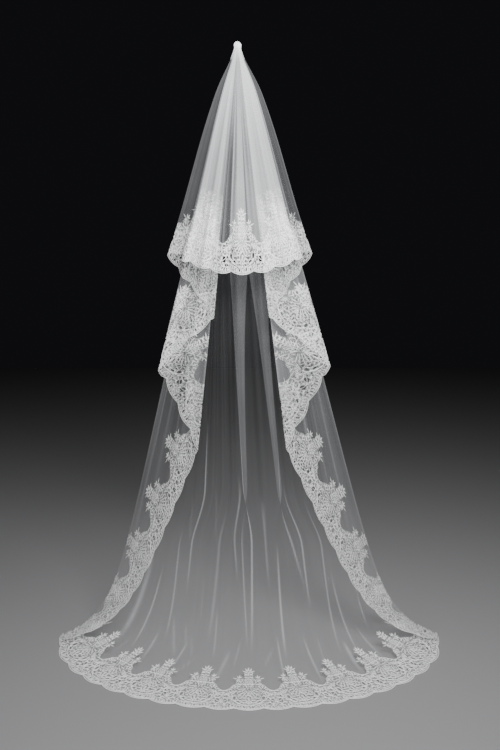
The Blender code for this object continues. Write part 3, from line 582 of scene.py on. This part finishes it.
def ground_sheet(name, start, end, material):
    """The lace's ground between two distances along the edge, with its openings cut.

    Rows run from the hem to the sprays' outline. Quads whose middle lies in an opening's ellipse
    are left out, and the points round them move out or in to the ellipse.
    """
    columns = int(np.ceil((end - start) / GROUND_STEP)) + 1
    along, share = np.meshgrid(np.linspace(start, end, columns), np.linspace(0.0, 1.0, GROUND_ROWS))
    top = np.interp(np.abs(spray_share(along)), TOP_SHARE, TOP_HEIGHT)
    low = hem_inset(along)
    inward = low + (top - low) * share ** 1.25
    faces = grid_faces(GROUND_ROWS, columns)
    along, inward = along.reshape(-1), inward.reshape(-1)
    kept = np.ones(len(faces), bool)
    moved_along, moved_inward = along.copy(), inward.copy()
    for row in OPENINGS:
        lean = np.radians(row.lean)
        centre = (np.round(along / REPEAT - row.share) + row.share) * REPEAT
        whole = (centre > start + OPENING_MARGIN) & (centre < end - OPENING_MARGIN)
        across, up = along - centre, inward - row.height
        right = (across * np.cos(lean) + up * np.sin(lean)) / row.half_width
        high = (up * np.cos(lean) - across * np.sin(lean)) / row.half_height
        radius = np.where(whole, np.hypot(right, high), 9.0)
        inside = radius[faces].mean(axis=1) < 0.95
        rim = np.zeros(len(along), bool)
        rim[faces[inside].reshape(-1)] = True
        outer = np.zeros(len(along), bool)
        outer[faces[~inside].reshape(-1)] = True
        rim &= outer & (radius > 0.2)
        scale = np.where(rim, 1.0 / np.maximum(radius, 0.2), 1.0)
        moved_along = np.where(rim, centre + across * scale, moved_along)
        moved_inward = np.where(rim, row.height + up * scale, moved_inward)
        kept &= ~inside
    faces = faces[kept]
    used, index = np.unique(faces, return_inverse=True)
    faces = index.reshape(-1, 4)
    along, inward = moved_along[used], moved_inward[used]
    points, x, y = to_hung(along, inward, np.full_like(along, GROUND_LIFT))
    faces = facing_front(points, faces)
    maps = {"edge": np.stack([along, inward], axis=1)}
    obj = piece(name, points, faces, maps, [material])
    return obj, (float(end - start), float(TOP_HEIGHT[0]), flat_area(x, y, faces))


# Embroidery of one repeat in millimetres from the tall spray's foot at the hem. A leaf starts at
# (s, h), heads lean degrees from upright, turns by bend degrees, and is as blunt as blunt is low.
# VALLEY is the middle between two tall sprays.
VALLEY = REPEAT / MM / 2
Leaf = namedtuple("Leaf", "s h lean length width bend blunt")
MIDDLE_LEAVES = tuple(Leaf(*row) for row in (
    (0, 194, 0, 16, 11, 0, 0.55),
    (0, 104, 0, 66, 3.0, 0, 0.25),
    (0, 168, 0, 22, 9, 0, 0.9),
    (0, 94, 180, 30, 6, 0, 1.0),
    (0, 64, 180, 22, 10, 0, 0.7),
    (0, 36, 180, 16, 5, 0, 0.9),
    (0, 6, 0, 14, 6, 0, 0.9),
))
VALLEY_LEAVES = (
    Leaf(VALLEY, 68, 0, 14, 10, 0, 0.7),
    Leaf(VALLEY, 62, 0, 8, 8, 0, 0.5),
    Leaf(VALLEY, 58, 180, 34, 6, 0, 0.8),
    Leaf(VALLEY, 82, 0, 11, 5, 0, 1.1),
    Leaf(VALLEY, 8, 0, 14, 6, 0, 0.9),
)
SIDE_LEAVES = tuple(Leaf(*row) for row in (
    (2, 188, 44, 23, 9.5, -14, 0.9),
    (2, 186, 84, 27, 9.5, -20, 1),
    (2, 180, 122, 20, 8.5, 0, 1),
    (3, 170, 62, 22, 8.5, -16, 1),
    (3, 164, 104, 17, 8, 0, 1),
    *((2, 112 + 9 * n, 48, long, 4.5, 0, 0.6) for n, long in enumerate((27, 25, 23, 20, 16, 12))),
    (9, 108, -8, 54, 3, 0, 0.3),
    (17, 112, -10, 40, 3, 0, 0.3),
    (3, 104, 36, 30, 5.5, -30, 0.8),
    (22, 128, 40, 34, 4.5, 16, 0.7),
    (39, 158, -12, 15, 8.5, 0, 0.8),
    (38, 158, -62, 13, 8, 0, 0.8),
    (40, 156, 34, 14, 8.5, 0, 0.8),
    (42, 152, 84, 23, 7.5, -14, 1.3),
    (40, 150, 128, 14, 7, 0, 1),
    (36, 149, 178, 12, 7, 0, 1),
    (30, 140, -40, 13, 6, 0, 1),
    (26, 122, 76, 22, 6, -30, 0.9),
    (30, 112, 66, 22, 6, -26, 0.9),
    (50, 104, 6, 21, 10, 0, 0.9),
    (46, 104, -38, 14, 7.5, 0, 0.9),
    (54, 104, 48, 15, 7.5, 0, 0.9),
    (58, 98, 74, 19, 6.5, 18, 0.8),
    (70, 91, 84, 18, 6.5, 10, 0.8),
    (47, 99, 152, 26, 5, 10, 0.7),
    (54, 97, 158, 25, 5, 10, 0.7),
    (61, 94, 163, 23, 5, 8, 0.7),
    (68, 90, 168, 20, 5, 8, 0.7),
    (75, 86, 172, 16, 5, 6, 0.7),
    (40, 100, 146, 27, 5, 10, 0.7),
    (2, 92, 168, 36, 6, 0, 0.8),
    (4, 95, 150, 40, 6.5, 0, 0.8),
    (6, 98, 134, 42, 6.5, 0, 0.8),
    (9, 102, 118, 38, 6, 0, 0.8),
    (12, 106, 102, 30, 5.5, 0, 0.8),
    (3, 44, 140, 17, 6, -20, 0.9),
    (8, 50, 110, 16, 6.5, -20, 0.9),
    (10, 58, 80, 14, 6.5, -20, 0.9),
    (28, 30, 40, 18, 6.5, 30, 0.9),
    (40, 36, 24, 18, 6.5, 30, 0.9),
    (54, 44, 14, 18, 6.5, 24, 0.9),
    (60, 54, 30, 14, 6.5, 0, 0.9),
    (24, 22, 76, 18, 6.5, -24, 0.9),
    (40, 26, 70, 18, 6.5, -24, 0.9),
    (56, 30, 66, 17, 6.5, -24, 0.9),
    (60, 40, 118, 14, 6, 20, 0.9),
    (64, 66, 60, 17, 7, -20, 0.9),
    (66, 60, 104, 15, 7, 20, 0.9),
    (88, 72, -70, 15, 8.5, 0, 0.8),
    (88, 64, -128, 14, 7, 0, 0.8),
    (88, 30, -66, 14, 6.5, 0, 0.9),
    (88, 24, -104, 14, 6, 0, 0.9),
    (70, 22, 66, 14, 6.5, -24, 0.9),
))
HEM_LEAF_COUNT = 20

# Scroll: centre, radii, first and last turn in degrees from its foot, how far it closes in, width
Scroll = namedtuple("Scroll", "s h across up first last closing width")
MIDDLE_SCROLLS = (
    Scroll(0, 66, 56, 42, -98, 98, 0.0, 2.6),
    Scroll(0, 64, 42, 30, -84, 84, 0.0, 1.8),
    Scroll(0, 56, 13, 17, 0, 360, 0.0, 2.0),
    Scroll(0, 18, 20, 13, -100, 100, 0.0, 1.8),
)
VALLEY_SCROLLS = (
    Scroll(VALLEY, 66, 24, 27, -128, 128, 0.0, 2.2),
    Scroll(VALLEY, 70, 13, 13, 60, 300, 0.0, 1.6),
)
SIDE_SCROLLS = tuple(Scroll(*row) for row in (
    (77.7, 43, 8.6, 14.0, 0, 360, 0.0, 2.2),
    (50, 56, 8.0, 12.0, 0, 360, 0.0, 1.8),
    (33.5, 40, 9.5, 7.5, 0, 360, 0.0, 1.8),
    (14.5, 15, 8.5, 7.0, 0, 360, 0.0, 1.8),
    (26, 142, 15, 24, 40, 150, 0.0, 2.0),
    (62, 78, 13, 13, -40, 360, 0.75, 2.0),
    (32, 64, 10, 11, 150, 520, 0.75, 1.8),
    (56, 20, 9, 7, -170, 200, 0.70, 1.6),
))
LEAF_SLIMNESS = 0.56
LEAF_ROWS = 7
LEAF_COLUMNS = 3
SCROLL_ROWS = 26
RELIEF = 0.0016

# Small filling leaves between the motifs, in millimetres: spacing along and up, length, width
FILLING_STEP = 12.0
FILLING_RISE = 11.5
FILLING_LENGTH = 12.5
FILLING_WIDTH = 3.0
FILLING_FOOT = 12.0
FILLING_HEADROOM = 5.0
FILLING_CLEARANCE = 0.003
FILLING_ROWS = 4
FILLING_COLUMNS = 3
GOLDEN_TURN = 137.508

CORD_STEP = 0.0025
TOP_CORD_HEIGHT = 0.128


def mirrored(rows, kind):
    """The rows of one half and their mirror images."""
    if kind is Leaf:
        flipped = [row._replace(s=-row.s, lean=-row.lean, bend=-row.bend) for row in rows]
    else:
        flipped = [row._replace(s=-row.s, first=-row.first, last=-row.last) for row in rows]
    return list(rows) + flipped


def hem_leaves():
    """Two rows of small leaves along the hem, leaning one way and then the other."""
    rows = []
    for number in range(HEM_LEAF_COUNT):
        s = (number + 0.5) / HEM_LEAF_COUNT * 2 * VALLEY - VALLEY
        low = hem_inset(s * MM) / MM
        rows.append(Leaf(s, low + 4, 34, 11, 5.0, -25, 0.8))
        rows.append(Leaf(s + 4, low + 11, -36, 10, 4.5, 25, 0.8))
    return rows


def filling_leaves():
    """Small leaves on a brick grid, each turned from the last by the golden angle.

    They keep to the ground between the hem and the sprays' outline and off the openings.
    """
    columns = int(2 * VALLEY / FILLING_STEP)
    rows = int(TOP_HEIGHT[0] / MM / FILLING_RISE)
    place, row = np.meshgrid(np.arange(columns), np.arange(rows))
    s = (((place + 0.5 * (row % 2) + 0.25) / columns * 2 - 1) * VALLEY).reshape(-1)
    h = (FILLING_FOOT + row * FILLING_RISE).reshape(-1)
    number = np.arange(len(s))
    top = np.interp(np.abs(s) / (2 * VALLEY), TOP_SHARE, TOP_HEIGHT) / MM
    kept = h < top - FILLING_HEADROOM
    for opening in OPENINGS:
        lean = np.radians(opening.lean)
        across = (s - opening.share * 2 * VALLEY) * MM
        up = h * MM - opening.height
        right = (across * np.cos(lean) + up * np.sin(lean)) / (opening.half_width + FILLING_CLEARANCE)
        high = (up * np.cos(lean) - across * np.sin(lean)) / (opening.half_height + FILLING_CLEARANCE)
        kept &= np.hypot(right, high) > 1.0
    lean = (number * GOLDEN_TURN) % 360.0
    start_s = s - FILLING_LENGTH / 2 * np.sin(np.radians(lean))
    start_h = h - FILLING_LENGTH / 2 * np.cos(np.radians(lean))
    bend = 30.0 * np.sin(number * 1.7)
    rest = np.ones_like(s)
    table = [start_s, start_h, lean, FILLING_LENGTH * rest, FILLING_WIDTH * rest, bend, 0.6 * rest]
    return np.stack(table, axis=1)[kept]


def leaf_grids(rows, along_rows, across_columns):
    """Leaves as grids: the centre line turns evenly, half width goes with sin(pi u) ** blunt."""
    s, h, lean, length, width, bend, blunt = np.array(rows, float).T[:, :, None, None]
    u = (0.5 - 0.5 * np.cos(np.linspace(0.0, np.pi, along_rows)))[None, :, None]
    v = np.linspace(-1.0, 1.0, across_columns)[None, None, :]
    heading = np.radians(lean + bend * u)
    middle = np.radians(lean + bend * u / 2)
    half = width / 2 * np.sin(np.pi * np.clip(u, 0.004, 0.996)) ** blunt
    along = s + length * u * np.sin(middle) + v * half * np.cos(heading)
    inward = h + length * u * np.cos(middle) - v * half * np.sin(heading)
    relief = (1.0 - v ** 2) * np.sin(np.pi * u) ** 0.5 * np.minimum(width / 6.0, 1.0) + 0.0 * along
    stitch = np.stack([np.broadcast_to(length * u, along.shape), v * half + 0.0 * along], axis=-1)
    return along * MM, inward * MM, relief, stitch * MM


def scroll_grids(rows):
    """Scrolls as ribbons round a turning and closing arc, rounded across."""
    s, h, across, up, first, last, closing, width = np.array(rows, float).T[:, :, None, None]
    t = np.linspace(0.0, 1.0, SCROLL_ROWS)[None, :, None]
    v = np.linspace(-1.0, 1.0, 3)[None, None, :]
    turn = np.radians(first + (last - first) * t)
    shrink = 1.0 - closing * t
    taper = width / 2 * (1.0 - 0.5 * (closing > 0) * t)
    along = s + (across * shrink + v * taper) * np.sin(turn)
    inward = h - (up * shrink + v * taper) * np.cos(turn)
    relief = 0.9 * (1.0 - v ** 2) + 0.0 * along
    length = (across + up) / 2 * np.abs(np.radians(last - first)) * t
    stitch = np.stack([length + 0.0 * along, v * width / 2 + 0.0 * along], axis=-1)
    return along * MM, inward * MM, relief, stitch * MM


def hem_cords(start, end):
    """Corded lines along the hem: on its edge, a little in from it, and along the net's edge."""
    count = int(np.ceil((end - start) / CORD_STEP)) + 1
    line = np.linspace(start, end, count)
    v = np.linspace(-1.0, 1.0, 3)
    found = []
    top = np.interp(np.abs(spray_share(line)), TOP_SHARE, TOP_HEIGHT)
    for middle, half in (
        (hem_inset(line) + 0.0010, 0.0014),
        (hem_inset(line) * 0.8 + 0.0060, 0.0008),
        (np.minimum(top, TOP_CORD_HEIGHT) - 0.0012, 0.0009),
    ):
        along = np.broadcast_to(line[:, None], (count, 3))
        inward = middle[:, None] + half * v
        relief = np.broadcast_to(1.0 - v ** 2, (count, 3))
        stitch = np.stack([along, inward], axis=-1)
        found.append((along, inward, relief, stitch))
    return found


def embroidery(name, start, end, material):
    """Leaves, scrolls and cords of the lace between two distances along the edge."""
    leaves = list(MIDDLE_LEAVES) + list(VALLEY_LEAVES) + mirrored(SIDE_LEAVES, Leaf) + hem_leaves()
    scrolls = list(MIDDLE_SCROLLS) + list(VALLEY_SCROLLS) + mirrored(SIDE_SCROLLS, Scroll)
    numbers = np.arange(np.floor(start / REPEAT) - 1, np.ceil(end / REPEAT) + 2)
    leaves = [row._replace(width=row.width * LEAF_SLIMNESS) for row in leaves]
    shapes = []
    motifs = leaf_grids(leaves, LEAF_ROWS, LEAF_COLUMNS)
    filling = leaf_grids(filling_leaves(), FILLING_ROWS, FILLING_COLUMNS)
    for grids in (motifs, filling, scroll_grids(scrolls)):
        along = (grids[0][None] + numbers[:, None, None, None] * REPEAT).reshape(-1, *grids[0].shape[1:])
        inward, relief, stitch = (
            np.tile(grid, (len(numbers),) + (1,) * (grid.ndim - 1)) for grid in grids[1:]
        )
        centre = along.mean(axis=(1, 2))
        inside = (centre >= start) & (centre < end)
        along, inward, relief, stitch = along[inside], inward[inside], relief[inside], stitch[inside]
        placed, _, _ = to_hung(along, inward, THREAD_LIFT + RELIEF * relief)
        count, rows, columns = along.shape
        quads = grid_faces(rows, columns, count)
        normal = face_normals(placed, quads).reshape(count, -1, 3).sum(axis=1)
        away = np.repeat(normal[:, 2] - normal[:, 1] < 0, len(quads) // max(count, 1))
        quads[away] = quads[away][:, ::-1]
        shapes.append((placed, quads, stitch.reshape(-1, 2)))
    for along, inward, relief, stitch in hem_cords(start, end):
        placed, _, _ = to_hung(along, inward, THREAD_LIFT + RELIEF * relief)
        quads = facing_front(placed, grid_faces(*along.shape))
        shapes.append((placed, quads, stitch.reshape(-1, 2)))
    points, faces, stitches = zip(*shapes)
    firsts = np.cumsum([0] + [len(placed) for placed in points])
    faces = np.concatenate([quads + first for quads, first in zip(faces, firsts)])
    return piece(name, np.concatenate(points), faces, {"stitch": np.concatenate(stitches)}, [material])


GATHER_ROWS = 61
GATHER_COLUMNS = 241


def gather(name, material):
    """The held point: a fluted tuft and neck whose radius is swelled by cosines of the turn.

    It widens at the top into a soft knob, narrows where it is held and opens out downward.
    """
    # Height, half width, half depth, middle's place from front to back, cover
    rows = (
        (0.0016, 0.0008, 0.0008, 0.0000, 1.00),
        (0.0006, 0.0048, 0.0044, 0.0000, 1.00),
        (-0.0020, 0.0086, 0.0078, 0.0000, 1.00),
        (-0.0060, 0.0110, 0.0100, 0.0000, 1.00),
        (-0.0100, 0.0112, 0.0104, -0.0005, 1.00),
        (-0.0140, 0.0106, 0.0098, -0.0013, 1.00),
        (-0.0180, 0.0102, 0.0096, -0.0025, 0.90),
        (-0.0240, 0.0112, 0.0102, -0.0040, 0.70),
        (-0.0320, 0.0136, 0.0118, -0.0056, 0.45),
        (-0.0430, 0.0172, 0.0142, -0.0080, 0.25),
        (-0.0566, 0.0218, 0.0168, -0.0110, 0.10),
    )
    height, wide, deep, middle, cover = np.array(rows).T
    steps = np.linspace(0.0, 1.0, GATHER_ROWS)
    knots = np.linspace(0.0, 1.0, len(height))
    height, wide, deep, middle, cover = (
        np.interp(steps, knots, row)[:, None] for row in (height, wide, deep, middle, cover)
    )
    turn = np.linspace(0.0, 2.0 * np.pi, GATHER_COLUMNS)[None, :]
    flute = 0.060 * np.cos(12 * turn + 0.5) + 0.035 * np.cos(19 * turn + 14 * height)
    flute = flute + 0.022 * np.cos(31 * turn)
    swell = 1.0 + flute * rise(steps, 0.05, 0.3)[:, None]
    x = wide * swell * np.cos(turn)
    y = middle + deep * swell * np.sin(turn)
    z = height + 0.0012 * np.cos(7 * turn + 1.0) * (1.0 - rise(steps, 0.1, 0.4))[:, None]
    points = np.stack([x, y, z + 0.0 * x], axis=-1).reshape(-1, 3)
    faces = grid_faces(GATHER_ROWS, GATHER_COLUMNS)
    normal = face_normals(points, faces)
    centre = (points[faces[:, 0]] + points[faces[:, 2]]) / 2
    outward = (centre - np.array([0.0, -0.005, -0.02])) * np.array([1.0, 1.0, 0.3])
    if (normal * outward).sum() < 0:
        faces = faces[:, ::-1]
    flat = np.stack([turn * 0.015 + 0.0 * x, steps[:, None] * 0.075 + 0.0 * x], axis=-1).reshape(-1, 2)
    obj = piece(name, points, faces, {"flat": flat}, [material], (cover + 0.0 * x).reshape(-1))
    area = float(np.linalg.norm(normal, axis=1).sum())
    return obj, area


class Value:
    """A node's output. Sums, differences, products and quotients of outputs add Math nodes."""

    def __init__(self, tree, socket):
        self.tree = tree
        self.socket = socket

    def maths(self, operation, first, second=0.0):
        return add_node(self.tree, "ShaderNodeMath", {"operation": operation}, {0: first, 1: second})

    def __add__(self, other):
        return self.maths("ADD", self, other)

    def __radd__(self, other):
        return self.maths("ADD", other, self)

    def __sub__(self, other):
        return self.maths("SUBTRACT", self, other)

    def __rsub__(self, other):
        return self.maths("SUBTRACT", other, self)

    def __mul__(self, other):
        return self.maths("MULTIPLY", self, other)

    def __rmul__(self, other):
        return self.maths("MULTIPLY", other, self)

    def __truediv__(self, other):
        return self.maths("DIVIDE", self, other)

    def cos(self):
        return self.maths("COSINE", self)

    def step(self, low, high):
        """Smooth step from 0 at low to 1 at high."""
        inputs = {"Value": self, "From Min": low, "From Max": high}
        return add_node(self.tree, "ShaderNodeMapRange", {"interpolation_type": "SMOOTHSTEP"}, inputs)


def fill_inputs(tree, node, inputs):
    """Gives each socket of a node its value or its link."""
    for key, value in inputs.items():
        if isinstance(value, Value):
            tree.links.new(value.socket, node.inputs[key])
        else:
            node.inputs[key].default_value = value


def add_node(tree, kind, settings, inputs, output=0):
    """Adds a node: its type, its settings, then the value or the link of each socket."""
    node = tree.nodes.new(kind)
    for key, value in settings.items():
        setattr(node, key, value)
    fill_inputs(tree, node, inputs)
    return Value(tree, node.outputs[output])


def blend_colour(tree, share, first, second):
    """Colour that goes from the first to the second with a share."""
    inputs = {0: share, 6: (*first, 1.0), 7: (*second, 1.0)}
    return add_node(tree, "ShaderNodeMix", {"data_type": "RGBA"}, inputs, 2)


def shader_of(name):
    """A new material, its tree and its Principled shader."""
    material = bpy.data.materials.new(name)
    material.use_nodes = True
    tree = material.node_tree
    return material, tree, tree.nodes["Principled BSDF"]


def flat_spot(tree, title):
    """The place on a flat map, its first and its second coordinate."""
    spot = add_node(tree, "ShaderNodeUVMap", {"uv_map": title}, {})
    x, y = (add_node(tree, "ShaderNodeSeparateXYZ", {}, {0: spot}, axis) for axis in (0, 1))
    return spot, x, y


def hexagon_net(tree, title, pitch):
    """Threads of an even net, 1 on a thread and 0 in a mesh: three cosines at 60 degrees summed."""
    _, x, y = flat_spot(tree, title)
    wave = 4.0 * np.pi / (np.sqrt(3.0) * pitch)
    half = wave * np.sqrt(3.0) / 2
    total = (y * wave).cos() + (x * half + y * (wave / 2)).cos() + (x * half - y * (wave / 2)).cos()
    return 1.0 - total.step(-0.9, 0.6)


TULLE_PITCH = 0.0016
GROUND_PITCH = 0.0030
STITCH_PITCH = 0.0009


def net_material():
    """Soft tulle: a fine even net whose cover follows the piece's density."""
    material, tree, shader = shader_of("soft_tulle")
    threads = hexagon_net(tree, "flat", TULLE_PITCH)
    density = add_node(tree, "ShaderNodeAttribute", {"attribute_name": "cover"}, {}, 2)
    spot = add_node(tree, "ShaderNodeUVMap", {"uv_map": "flat"}, {})
    cloud = add_node(tree, "ShaderNodeTexNoise", {}, {"Vector": spot, "Scale": 7.0, "Detail": 2.0})
    cover = density * (0.62 + 0.76 * threads) * (0.85 + 0.3 * cloud)
    tint = blend_colour(tree, cloud, (0.86, 0.88, 0.91), (0.93, 0.94, 0.95))
    fill_inputs(tree, shader, {
        "Base Color": tint,
        "Alpha": cover,
        "Roughness": 0.62,
        "Specular IOR Level": 0.3,
        "Sheen Weight": 0.35,
        "Sheen Roughness": 0.4,
    })
    return material


def ground_material(name, share):
    """Lace ground: a coarser net, closer in clouds and toward the hem, and bars between cells."""
    material, tree, shader = shader_of(name)
    threads = hexagon_net(tree, "edge", GROUND_PITCH)
    spot, _, height = flat_spot(tree, "edge")
    cloud = add_node(tree, "ShaderNodeTexNoise", {}, {"Vector": spot, "Scale": 90.0, "Detail": 2.0})
    cells = add_node(
        tree, "ShaderNodeTexVoronoi", {"feature": "DISTANCE_TO_EDGE"}, {"Vector": spot, "Scale": 92.0}
    )
    near_hem = 1.0 - height.step(0.02, 0.10)
    bars = 1.0 - cells.step(0.06, 0.16)
    cover = (0.01 + 0.03 * threads) * (0.55 + 0.9 * cloud) + bars * (0.12 + 0.12 * near_hem)
    # share lowers the cover as painted shade below 1 and raises it as painted light above 1; the lace is
    # the same on every stretch
    cover = cover * share
    tint = blend_colour(tree, cloud, (0.84, 0.85, 0.87), (0.93, 0.93, 0.92))
    fill_inputs(tree, shader, {
        "Base Color": tint,
        "Alpha": cover,
        "Roughness": 0.75,
        "Specular IOR Level": 0.25,
    })
    return material


def embroidery_material(name, share):
    """Embroidery: satin stitches laid across each leaf, with a slight change of tone, and painted shade
    that darkens the colour a little in the grooves between stitches.
    """
    material, tree, shader = shader_of(name)
    spot, x, y = flat_spot(tree, "stitch")
    stitches = (x * (2.0 * np.pi / STITCH_PITCH) + (y * 900.0).cos() * 0.8).cos()
    cloud = add_node(tree, "ShaderNodeTexNoise", {}, {"Vector": spot, "Scale": 160.0, "Detail": 3.0})
    # Colour varies with the cloud, a random tone, and goes a little darker where the stitch bump is low,
    # a painted shade in the grooves
    tint = blend_colour(tree, cloud * 0.6 + stitches * 0.2 + 0.2, (0.84, 0.85, 0.86), (0.97, 0.97, 0.96))
    bump = add_node(
        tree, "ShaderNodeBump", {}, {"Strength": 0.35, "Distance": 0.0003, "Height": stitches}
    )
    # share lowers the cover as painted shade below 1 and raises it as painted light above 1; the lace is
    # the same on every stretch
    cover = (0.30 + 0.24 * cloud + 0.04 * stitches) * share
    fill_inputs(tree, shader, {
        "Base Color": tint,
        "Alpha": cover,
        "Normal": bump,
        "Roughness": 0.5,
        "Specular IOR Level": 0.4,
        "Sheen Weight": 0.2,
    })
    return material


def gather_material():
    """Packed folds of tulle: nearly closed cover, streaked along the folds by a bump, and painted shade
    that darkens the colour in the hollows between the streaks.
    """
    material, tree, shader = shader_of("packed_tulle")
    spot, x, _ = flat_spot(tree, "flat")
    fold_bump_and_painted_shade = (x * 2600.0).cos() * 0.5 + 0.5
    cloud = add_node(tree, "ShaderNodeTexNoise", {}, {"Vector": spot, "Scale": 120.0, "Detail": 3.0})
    # Colour: darker where the fold bump is low, a painted shade in the fold hollows, and varied by the
    # cloud, a random tone
    tint = blend_colour(tree, cloud * 0.6 + fold_bump_and_painted_shade * 0.4, (0.70, 0.72, 0.75), (0.94, 0.94, 0.95))
    bump = add_node(tree, "ShaderNodeBump", {}, {"Strength": 0.4, "Distance": 0.0005, "Height": fold_bump_and_painted_shade})
    cover = add_node(tree, "ShaderNodeAttribute", {"attribute_name": "cover"}, {}, 2)
    fill_inputs(tree, shader, {
        "Alpha": cover,
        "Base Color": tint,
        "Normal": bump,
        "Roughness": 0.6,
        "Sheen Weight": 0.3,
    })
    return material


# Stretches: name, flat angles on the right, column step in degrees, rows, cover of one layer
Stretch = namedtuple("Stretch", "name low high step rows thickness")
SIDE_STRETCHES = (
    Stretch("cascade_4", CORNER.angle, LOW_INNER.angle, 0.30, 70, 0.024),
    Stretch("cascade_3", LOW_INNER.angle, OUTER.angle, 0.5, 40, 0.045),
    Stretch("cascade_2", OUTER.angle, HIGH_INNER.angle, 0.5, 40, 0.030),
    Stretch("cascade_1", HIGH_INNER.angle, TIP.angle, 0.5, 40, 0.020),
    Stretch("blusher_side", TIP.angle, SIDE_INNER.angle, 0.5, 36, 0.018),
    Stretch("blusher_pleats", SIDE_INNER.angle, FRONT.angle, 0.7, 30, 0.024),
)
MIDDLE_STRETCHES = (
    Stretch("blusher_front", FRONT_ANGLE, 360.0 - FRONT_ANGLE, 0.14, 60, 0.036),
    Stretch("train", -CORNER_ANGLE, CORNER_ANGLE, 0.075, 110, 0.016),
)


def make_stretch(row, name, low, high, materials):
    """The net, the lace ground and the embroidery of one stretch, in place of its two solids."""
    net, (width, length, area) = net_sheet(
        f"{name}_net", low, high, row.step, row.rows, row.thickness, materials["net"]
    )
    ends = sorted((float(along_at(np.array(low))), float(along_at(np.array(high)))))
    ground, cut = ground_sheet(f"{name}_lace_ground", *ends, materials["ground"])
    thread = embroidery(f"{name}_embroidery", *ends, materials["embroidery"])
    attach(net, "root")
    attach(ground, "root")
    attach(thread, "root")
    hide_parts(f"{name}_tulle")
    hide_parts(f"{name}_lace")


CAMERA_PLACE = (0.041, -2.40, -0.79)
CAMERA_LENS = 33.6
CAMERA_DROP = 7.2
BACKDROP = (0.006, 0.006, 0.007)
FLOOR = (0.22, 0.22, 0.225)
SEE_THROUGH_BOUNCES = 64

# Soft round lamps: name, place, the point it faces, diameter, watts
LAMPS = (
    ("top", (0.45, -1.5, 0.05), (0.0, -0.1, -0.6), 0.9, 78.0),
    ("key", (0.9, -2.6, 0.2), (0.0, 0.0, -0.9), 1.4, 42.0),
    ("fill", (-1.8, -2.4, -0.1), (0.0, 0.0, -0.9), 1.6, 28.0),
    ("low", (0.0, -2.6, -1.4), (0.0, -0.2, -1.7), 1.2, 6.0),
)


def stage_and_light():
    """Plain grey floor, soft lights from the front, and the camera."""
    mesh = bpy.data.meshes.new("floor")
    corners = [(-8, -8, -2.001), (8, -8, -2.001), (8, 8, -2.001), (-8, 8, -2.001)]
    mesh.from_pydata(corners, [], [(0, 1, 2, 3)])
    floor = add_object("floor", mesh)
    material, tree, shader = shader_of("floor_paint")
    fill_inputs(tree, shader, {
        "Base Color": (*FLOOR, 1.0),
        "Roughness": 0.9,
        "Specular IOR Level": 0.0,
    })
    mesh.materials.append(material)

    world = bpy.data.worlds.new("studio")
    world.use_nodes = True
    world.node_tree.nodes["Background"].inputs["Color"].default_value = (*BACKDROP, 1.0)
    bpy.context.scene.world = world

    for name, place, aim, size, power in LAMPS:
        lamp = bpy.data.lights.new(name, "AREA")
        lamp.shape = "DISK"
        lamp.size = size
        lamp.energy = power
        obj = add_object(name, lamp)
        obj.location = place
        x, y, z = np.array(aim) - np.array(place)
        obj.rotation_euler = (np.arctan2(np.hypot(x, y), -z), 0.0, np.arctan2(-x, y))

    camera = bpy.data.cameras.new("camera")
    camera.sensor_fit = "VERTICAL"
    camera.sensor_height = 36.0
    camera.lens = CAMERA_LENS
    obj = add_object("camera", camera)
    obj.location = CAMERA_PLACE
    obj.rotation_euler = (np.radians(90.0 - CAMERA_DROP), 0.0, 0.0)
    bpy.context.scene.camera = obj
    bpy.context.scene.cycles.transparent_max_bounces = SEE_THROUGH_BOUNCES


def lace_set(net, prefix, ground_painted_light_share, thread_painted_light_share):
    """Materials of a stretch: one net for all, and lace whose cover is a share of the plain one. It is
    the same lace throughout: its cover is lowered as painted shade or raised as painted light.
    """
    return {
        "net": net,
        "ground": ground_material(f"{prefix}lace_ground", ground_painted_light_share),
        "embroidery": embroidery_material(f"{prefix}lace_embroidery", thread_painted_light_share),
    }


def main():
    stage_and_light()
    net = net_material()
    # One lace in four copies: the inner copy at 0.3 of the cover on the blusher's pleats and the middle
    # copy at 0.6 on the blusher's side and cascades 1 and 3 are painted shade; the front fall and train
    # lace at 1.1 and 1.5 is painted light
    plain = lace_set(net, "", 1.0, 1.0)
    inner = lace_set(net, "painted_shade_", 0.3, 0.3)
    middle = lace_set(net, "half_painted_shade_", 0.6, 0.6)
    painted_light_lace = lace_set(net, "painted_light_", 1.1, 1.5)
    painted_shade_lace = {"blusher_pleats": inner, "blusher_side": middle, "cascade_1": middle, "cascade_3": middle}
    hold, area = gather("gathered_top", gather_material())
    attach(hold, "root")
    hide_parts("crown_gather")
    for row in SIDE_STRETCHES:
        used = painted_shade_lace.get(row.name, plain)
        make_stretch(row, f"{row.name}_left", -row.high, -row.low, used)
        make_stretch(row, f"{row.name}_right", row.low, row.high, used)
    for row in MIDDLE_STRETCHES:
        make_stretch(row, row.name, row.low, row.high, painted_light_lace)


main()
